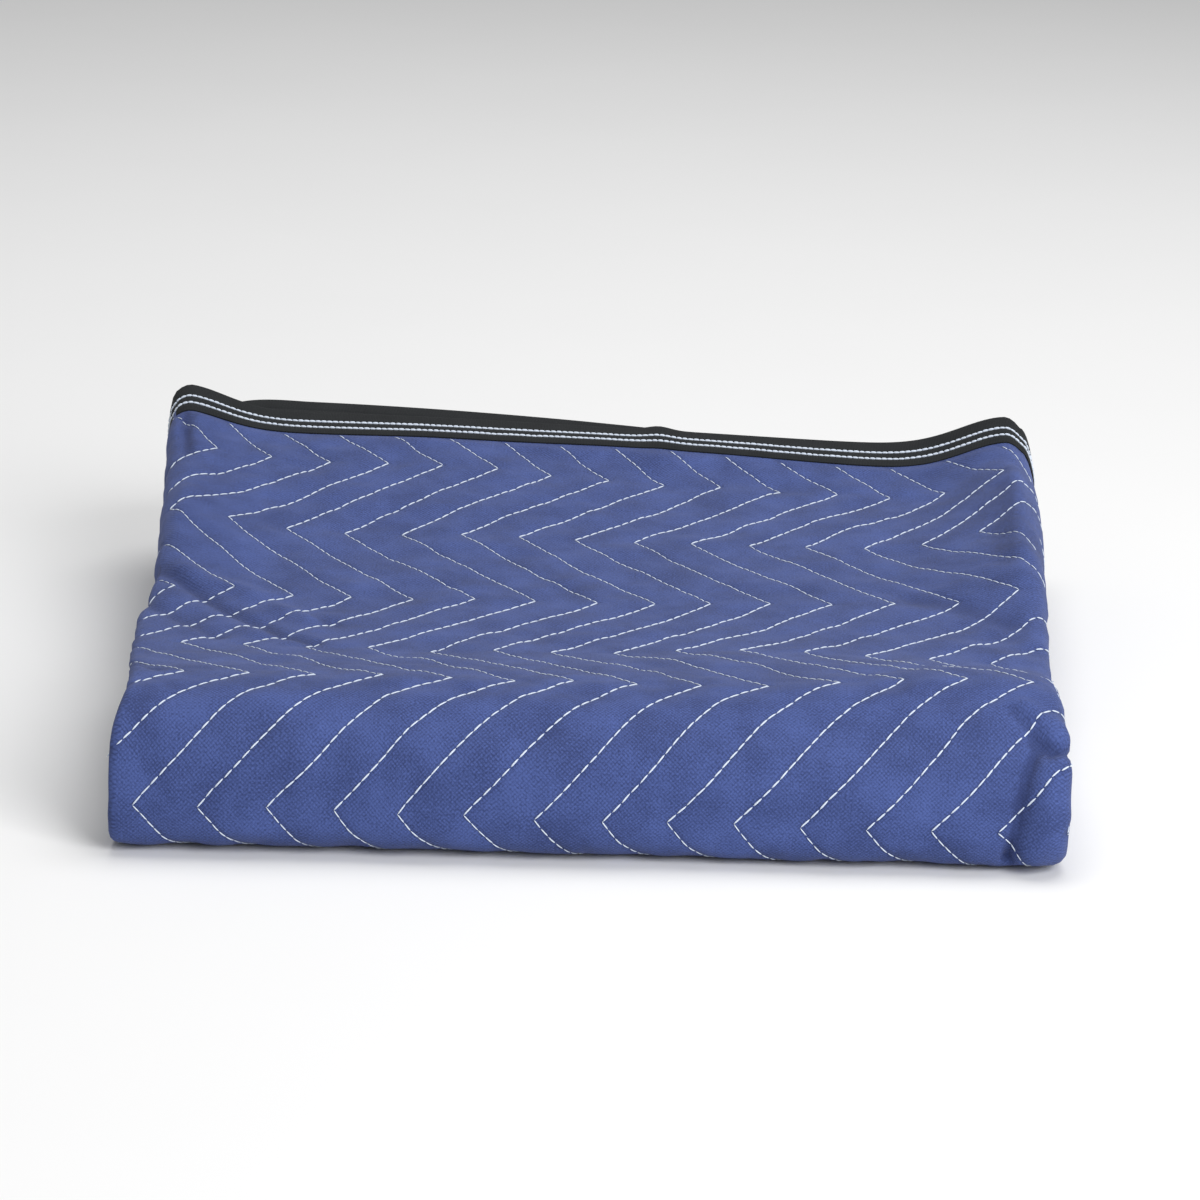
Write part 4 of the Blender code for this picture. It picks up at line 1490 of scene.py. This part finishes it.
# ---------------------------------------------------------------- finishes
class ShaderGroups:
    """Surface effects that several finishes share, each built once as a node group."""

    mottle_details = {"Cloud Size": 3.0, "Fibre Size": 2.0}
    mottle_roughness = 0.6

    def __init__(self, quilting: Quilting) -> None:
        """Builds the groups."""
        self.mottle = self.build_mottle()
        self.dimples = self.build_dimples()
        self.chevrons = self.build_chevrons(quilting)

    @staticmethod
    def start(name: str, sizes: Sequence[str], outputs: Sequence[str]) -> tuple:
        """Starts a group: its tree, a writer for it, and its place and sizes as given."""
        tree = bpy.data.node_groups.new(name, "ShaderNodeTree")
        inputs = [("Place", "NodeSocketVector")]
        inputs += [(size, "NodeSocketFloat") for size in sizes]
        add_sockets(tree, inputs, [(output, "NodeSocketFloat") for output in outputs])
        write = NodeWriter(tree)
        return tree, write, write.add("NodeGroupInput").outputs

    def build_mottle(self) -> bpy.types.NodeTree:
        """Uneven fibres: a soft cloudy shade and a fine one, both about one half."""
        sizes = list(self.mottle_details)
        tree, write, given = self.start("fibre_mottle", sizes, ("Cloud", "Fibre"))
        shades = []
        for size, detail in self.mottle_details.items():
            feed = {"Vector": given["Place"], "Scale": write.math("DIVIDE", 1.0, given[size]),
                    "Detail": detail, "Roughness": self.mottle_roughness}
            shades.append(write.add("ShaderNodeTexNoise", feed).outputs[0])
        write.add("NodeGroupOutput", dict(enumerate(shades)))
        return tree

    def build_dimples(self) -> bpy.types.NodeTree:
        """The diagonal lattice of dimples pressed into a non-woven cloth, 0 to 1."""
        tree, write, given = self.start("dimple_lattice", ("Pitch",), ("Height",))
        place = write.add("ShaderNodeSeparateXYZ", {0: given["Place"]}).outputs
        turn = write.math("DIVIDE", math.pi / math.sqrt(2), given["Pitch"])
        waves = []
        for operation in ("ADD", "SUBTRACT"):
            diagonal = write.math(operation, place["X"], place["Y"])
            waves.append(write.math("SINE", write.math("MULTIPLY", diagonal, turn)))
        product = write.math("ABSOLUTE", write.math("MULTIPLY", *waves))
        write.add("NodeGroupOutput", {0: write.math("SQRT", product)})
        return tree

    def build_chevrons(self, quilting: Quilting) -> bpy.types.NodeTree:
        """How near a point of the cloth is to a chevron line: 1 on it, 0 past the reach."""
        tree, write, given = self.start("chevron_nearness", ("Reach",), ("Nearness",))
        place = write.add("ShaderNodeSeparateXYZ", {0: given["Place"]}).outputs
        past = write.math("SUBTRACT", place["Y"], quilting.first_right_point * MM)
        swung = write.math("PINGPONG", past, quilting.reach * MM)
        swing = write.math("MULTIPLY", swung, quilting.swing / quilting.reach)
        seen = write.math("MINIMUM", place["Y"], quilting.drift_length * MM)
        drift = write.math("MULTIPLY_ADD", seen, quilting.drift, quilting.offset * MM)
        off = write.math("ADD", write.math("SUBTRACT", place["X"], drift), swing)
        across = write.math("PINGPONG", off, quilting.spacing / 2 * MM)
        slope = math.cos(math.atan2(quilting.swing, quilting.reach))
        share = write.math("DIVIDE", write.math("MULTIPLY", across, slope), given["Reach"])
        near = write.add("ShaderNodeMapRange", {"Value": share, "To Min": 1.0, "To Max": 0.0},
                         interpolation_type="SMOOTHSTEP")
        write.add("NodeGroupOutput", {0: near.outputs[0]})
        return tree


class MaterialWriter(NodeWriter):
    """Writes the nodes of a new material, and joins them to its shader."""

    def __init__(self, name: str) -> None:
        """Makes the material."""
        self.material = bpy.data.materials.new(name)
        self.material.use_nodes = True
        super().__init__(self.material.node_tree)

    def cloth_place(self) -> bpy.types.NodeSocket:
        """The place on the flat cloth or tape."""
        return self.add("ShaderNodeAttribute", attribute_name=PLACE).outputs["Vector"]

    def plain_place(self) -> bpy.types.NodeSocket:
        """The place in the piece's own frame."""
        return self.add("ShaderNodeTexCoord").outputs["Object"]

    def effect(self, group: bpy.types.NodeTree, values: dict) -> list[bpy.types.NodeSocket]:
        """Adds a shared effect and gives its outputs."""
        return list(self.add("ShaderNodeGroup", values, node_tree=group).outputs)

    def mottle(self, groups: ShaderGroups, place: bpy.types.NodeSocket,
               sizes: tuple) -> list[bpy.types.NodeSocket]:
        """Adds uneven fibres and gives their cloudy and their fine shade."""
        feed = {"Place": place, "Cloud Size": sizes[0], "Fibre Size": sizes[1]}
        return self.effect(groups.mottle, feed)

    def tone(self, shades: Sequence[tuple], start: float) -> bpy.types.NodeSocket:
        """Adds up weighted shades on top of a start, and keeps the sum from 0 to 1."""
        total = self.weighted(shades, start)
        return self.add("ShaderNodeClamp", {"Value": total}).outputs[0]

    def mix(self, factor: bpy.types.NodeSocket, low: object, high: object) -> bpy.types.NodeSocket:
        """Mixes two colours or colour sockets by a factor that changes over the surface."""
        feed = {"Factor_Float": factor, "A_Color": low, "B_Color": high}
        return self.add("ShaderNodeMix", feed, data_type="RGBA").outputs[2]

    def bump(self, height: bpy.types.NodeSocket, strength: float = 1.0) -> bpy.types.NodeSocket:
        """The facing of a surface with these heights in metres."""
        feed = {"Height": height, "Distance": 1.0, "Strength": strength}
        return self.add("ShaderNodeBump", feed).outputs[0]

    def finish(self, looks: dict) -> bpy.types.Material:
        """Joins or sets the shader's inputs, and gives the material."""
        self.feed(self.tree.nodes["Principled BSDF"], looks)
        return self.material


@dataclass(frozen=True)
class ClothFinish:
    """Blue needled non-woven cloth, dimpled all over and drawn in at its stitches, with painted
    shade along its stitch lines and in its creases.
    """

    lit: tuple = (0.070, 0.108, 0.315, 1.0)
    dull: tuple = (0.030, 0.047, 0.148, 1.0)
    # painted shade: the dark colour that the stitch lines and the creases take
    painted_shade_colour: tuple = (0.018, 0.028, 0.095, 1.0)
    mottle_sizes: tuple = (28.0 * MM, 1.1 * MM)     # of the clouds and of the fibres
    cloud_tone: float = 1.5             # weights of the shades in the tone
    fibre_tone: float = 2.2
    dimple_tone: float = 0.6
    tone_start: float = -1.7
    seam_shade: float = 0.25            # how far a stitch line takes the colour of the painted shade
    crease_shade: float = 0.6           # and how far a full crease does
    crease_full: float = 3.2 * MM       # deep enough for the darkest painted shade
    dimple_pitch: float = 1.5 * MM
    dimple_depth: float = 0.14 * MM
    fibre_depth: float = 0.10 * MM
    groove_depth: float = 0.35 * MM
    groove_reach: float = 2.4 * MM
    smoothest: float = 0.80             # the least roughness; fibres add to it
    fibre_roughness: float = 0.16
    sheen: float = 0.08
    sheen_roughness: float = 0.5
    specular: float = 0.25

    def build(self, groups: ShaderGroups) -> bpy.types.Material:
        """Builds the material."""
        write = MaterialWriter("quilted_cloth")
        place = write.cloth_place()
        cloud, fibre = write.mottle(groups, place, self.mottle_sizes)
        dimple, = write.effect(groups.dimples, {"Place": place, "Pitch": self.dimple_pitch})
        near, = write.effect(groups.chevrons, {"Place": place, "Reach": self.groove_reach})
        tone = write.tone(((cloud, self.cloud_tone), (fibre, self.fibre_tone),
                           (dimple, self.dimple_tone)), self.tone_start)
        depth = write.add("ShaderNodeSeparateXYZ", {0: place}).outputs["Z"]
        creased = write.math("MINIMUM", write.math("DIVIDE", depth, self.crease_full), 1.0)
        # painted shade along the stitch lines and in the creases, as a share of its colour
        drawn = write.math("MAXIMUM", write.math("MULTIPLY", near, self.seam_shade),
                           write.math("MULTIPLY", creased, self.crease_shade))
        height = write.weighted(((dimple, self.dimple_depth), (fibre, self.fibre_depth),
                                 (near, -self.groove_depth)))
        return write.finish({
            "Base Color": write.mix(drawn, write.mix(tone, self.dull, self.lit), self.painted_shade_colour),
            "Normal": write.bump(height),
            "Roughness": write.weighted([(fibre, self.fibre_roughness)], self.smoothest),
            "Sheen Weight": self.sheen,
            "Sheen Roughness": self.sheen_roughness,
            "Specular IOR Level": self.specular,
        })


@dataclass(frozen=True)
class TapeFinish:
    """Charcoal woven tape: fine ribs across its length, a little faded on the ridges."""

    ridge: tuple = (0.027, 0.030, 0.033, 1.0)
    hollow: tuple = (0.005, 0.006, 0.007, 1.0)
    mottle_sizes: tuple = (18.0 * MM, 0.8 * MM)     # of the clouds and of the fibres
    shade_tone: float = 0.5             # weight of each shade in the tone
    tone_start: float = -0.2
    rib_pitch: float = 0.9 * MM
    weft_pitch: float = 0.55 * MM
    rib_depth: float = 0.10 * MM
    smoothest: float = 0.75             # the least roughness; fibres add to it
    fibre_roughness: float = 0.14
    sheen: float = 0.03
    specular: float = 0.15

    def build(self, groups: ShaderGroups) -> bpy.types.Material:
        """Builds the material."""
        write = MaterialWriter("binding_tape")
        place = write.cloth_place()
        cloud, fibre = write.mottle(groups, place, self.mottle_sizes)
        parts = write.add("ShaderNodeSeparateXYZ", {0: place}).outputs
        waves = []
        for axis, pitch in (("X", self.rib_pitch), ("Y", self.weft_pitch)):
            wave = write.math("SINE", write.math("MULTIPLY", parts[axis], math.tau / pitch))
            waves.append(write.math("MULTIPLY_ADD", wave, 0.5, 0.5))
        weave = write.math("MULTIPLY", *waves)
        tone = write.tone([(shade, self.shade_tone) for shade in (weave, fibre, cloud)],
                          self.tone_start)
        return write.finish({
            "Base Color": write.mix(tone, self.hollow, self.ridge),
            "Normal": write.bump(write.math("MULTIPLY", weave, self.rib_depth)),
            "Roughness": write.weighted([(fibre, self.fibre_roughness)], self.smoothest),
            "Sheen Weight": self.sheen,
            "Specular IOR Level": self.specular,
        })


@dataclass(frozen=True)
class ThreadFinish:
    """White spun thread with a faint twist."""

    crown: tuple = (0.74, 0.81, 0.92, 1.0)
    hollow: tuple = (0.56, 0.63, 0.74, 1.0)
    mottle_sizes: tuple = (12.0 * MM, 0.5 * MM)     # of the clouds and of the fibres
    fibre_tone: float = 0.9
    tone_start: float = 0.1
    twist_depth: float = 0.12 * MM
    twist_strength: float = 0.8
    roughness: float = 0.6
    specular: float = 0.3

    def build(self, groups: ShaderGroups) -> bpy.types.Material:
        """Builds the material."""
        write = MaterialWriter("white_thread")
        fibre = write.mottle(groups, write.plain_place(), self.mottle_sizes)[1]
        tone = write.tone([(fibre, self.fibre_tone)], self.tone_start)
        height = write.math("MULTIPLY", fibre, self.twist_depth)
        return write.finish({
            "Base Color": write.mix(tone, self.hollow, self.crown),
            "Normal": write.bump(height, self.twist_strength),
            "Roughness": self.roughness,
            "Specular IOR Level": self.specular,
        })


@dataclass(frozen=True)
class FloorFinish:
    """A pale matt floor with hardly any unevenness."""

    pale: tuple = (0.86, 0.86, 0.86, 1.0)
    palest: tuple = (0.89, 0.89, 0.89, 1.0)
    mottle_sizes: tuple = (400.0 * MM, 1.0 * MM)    # of the clouds and of the fibres
    roughness: float = 0.9

    def build(self, groups: ShaderGroups) -> bpy.types.Material:
        """Builds the material."""
        write = MaterialWriter("studio_floor")
        cloud = write.mottle(groups, write.plain_place(), self.mottle_sizes)[0]
        colour = write.mix(cloud, self.pale, self.palest)
        return write.finish({"Base Color": colour, "Roughness": self.roughness})


# ---------------------------------------------------------------- studio
@dataclass
class Studio:
    """The floor, the lights and the camera, in metres and watts; the lens in millimetres."""

    floor_half: float = 4.0
    floor_drop: float = 0.0006
    backdrop: tuple = (1.0, 1.0, 1.0, 1.0)
    sky: float = 0.27                   # strength of the backdrop as a light
    camera_place: tuple = (-0.015, -2.269, 0.7275)
    camera_roll: float = math.radians(1.49)
    lens: float = 134.0
    near_clip: float = 0.05
    key_place: tuple = (1.5, -2.0, 1.5)
    key_size: float = 1.7
    key_power: float = 66.0
    top_place: tuple = (0.3, 0.7, 2.6)
    top_size: float = 2.2
    top_power: float = 46.0

    def build(self, floor_material: bpy.types.Material) -> None:
        """Sets up everything round the object."""
        self.add_floor(floor_material)
        self.add_light("key", self.key_place, self.key_size, self.key_power)
        self.add_light("top", self.top_place, self.top_size, self.top_power)
        world = bpy.data.worlds.new("studio")
        world.use_nodes = True
        NodeWriter(world.node_tree).feed(world.node_tree.nodes["Background"],
                                         {"Color": self.backdrop, "Strength": self.sky})
        bpy.context.scene.world = world
        bpy.context.scene.view_settings.view_transform = "Standard"
        self.add_camera()

    def add_floor(self, material: bpy.types.Material) -> None:
        """Adds a plain floor just under the object."""
        half, low = self.floor_half, -self.floor_drop
        mesh = bpy.data.meshes.new("floor")
        corners = ((-half, -half, low), (half, -half, low), (half, half, low), (-half, half, low))
        mesh.from_pydata(corners, [], [(0, 1, 2, 3)])
        mesh.materials.append(material)
        new_piece("floor", mesh)

    def add_light(self, name: str, place: tuple, size: float, power: float) -> None:
        """Adds a large soft light that faces the object."""
        lamp = bpy.data.lights.new(name, "AREA")
        lamp.size = size
        lamp.energy = power
        light = bpy.data.objects.new(name, lamp)
        light.location = place
        light.rotation_euler = (-Vector(place)).to_track_quat("-Z", "Y").to_euler()
        bpy.context.scene.collection.objects.link(light)

    def add_camera(self) -> None:
        """Adds the camera where the photograph was taken from, aimed at the object."""
        lens = bpy.data.cameras.new("camera")
        lens.lens = self.lens
        lens.clip_start = self.near_clip
        camera = bpy.data.objects.new("camera", lens)
        low, high = (Vector(corner) for corner in CAD_BOX)
        aim = (low + high) / 2
        place = Vector(self.camera_place)
        turned = (aim - place).to_track_quat("-Z", "Y") @ Quaternion((0, 0, 1), self.camera_roll)
        camera.location = place
        camera.rotation_euler = turned.to_euler()
        bpy.context.scene.collection.objects.link(camera)
        bpy.context.scene.camera = camera


# ---------------------------------------------------------------- the whole blanket
@dataclass
class MovingBlanket:
    """The dressed blanket: cloth, four binding tapes and all the sewing thread."""

    face: ClothFace
    groups: ShaderGroups
    flat_size: tuple = (1.829, 2.032)       # a 72 by 80 in cut
    seen_tape_pitch: float = 3.0            # of the rings of the tape that shows
    seam_proud: float = 0.25                # how far the tape's stitches stand off it

    def dress(self, piece: bpy.types.Object, material: bpy.types.Material) -> None:
        """Gives a piece its material and lets it ride on the body."""
        piece.data.materials.clear()
        piece.data.materials.append(material)
        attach(piece, BODY)
        piece.data.calc_loop_triangles()
        LOG.info("%s: %d triangles", piece.name, len(piece.data.loop_triangles))

    def build(self) -> None:
        """Makes every piece of the blanket."""
        cloth_material = ClothFinish().build(self.groups)
        tape_material = TapeFinish().build(self.groups)
        cloth = QuiltedCloth(self.face).build()
        self.dress(cloth, cloth_material)
        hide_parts("blanket")
        tapes, taped = self.tapes(), []
        for tape in tapes:
            piece = tape.build()
            self.dress(piece, tape_material)
            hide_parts(tape.node)
            taped.append(piece)
        sewn = self.sew(tapes[0])

    def tapes(self) -> list[BindingTape]:
        """The four tapes."""
        face = self.face
        return [
            EndTape("tape_top_edge", "binding_top_edge", face, pitch=self.seen_tape_pitch),
            EndTape("tape_lower_edge", "binding_lower_edge", face, lower=True),
            SideTape("tape_side_outer", "binding_side_outer", face, panel=Panel.OUTER_EDGE),
            SideTape("tape_side_inner", "binding_side_inner", face, panel=Panel.INNER_EDGE),
        ]

    def sew(self, top_tape: EndTape) -> list[bpy.types.Object]:
        """Sews the chevrons and the two lines on the top tape."""
        work = ThreadWork(StitchTree().build(), ThreadFinish().build(self.groups))
        marks = self.face.stack.marks
        chevrons = ChevronLines(self.face)
        foot, back, start, end = marks[Run.BOTTOM], marks[Run.UPPER], marks[0], marks[-1]
        sewn = []
        for leg in Leg:
            seen = chevrons.lines(leg, start + chevrons.margin, foot, False)
            under = chevrons.lines(leg, foot, back, False)
            inside = chevrons.lines(leg, back, end - chevrons.margin, True)
            for part, lines in (("top", seen), ("under", under + inside)):
                sewn.append(work.sew(f"stitches_{part}_{leg.value}", lines, STITCHES[leg]))
        across = top_tape.stops()
        lines = [ThreadLine(*top_tape.seam(seam, across, self.seam_proud))
                 for seam in top_tape.profile.seams]
        sewn.append(work.sew("stitches_tape", lines, TAPE_STITCH))
        for piece in sewn:
            self.dress(piece, work.thread)
        return sewn


def settled_stack() -> FoldedStack:
    """The folds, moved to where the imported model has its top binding."""
    stack = FoldedStack()
    probe = EndTape("probe", "binding_top_edge", ClothFace(stack))
    outer = probe.profile.inner + probe.profile.thickness
    across = probe.stops()
    tip = np.full(len(across), probe.profile.nose - outer)
    rim = probe.points_at(across, tip, np.full(len(across), outer))
    low, high = (np.array(corner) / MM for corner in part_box("binding_top_edge"))
    middle = (rim[:, 0].min() + rim[:, 0].max()) / 2
    stack.origin = np.array(((low[0] + high[0]) / 2 - middle, high[1] - rim[:, 1].max(), 0.0))
    return stack


def main() -> None:
    """Builds the blanket and its studio."""
    logging.basicConfig(level=logging.INFO, format="%(message)s")
    face = ClothFace(settled_stack())
    LOG.info("folds moved by %s mm", face.stack.origin.round(2))
    groups = ShaderGroups(face.quilting)
    MovingBlanket(face, groups).build()
    Studio().build(FloorFinish().build(groups))


if __name__ == "__main__":
    main()
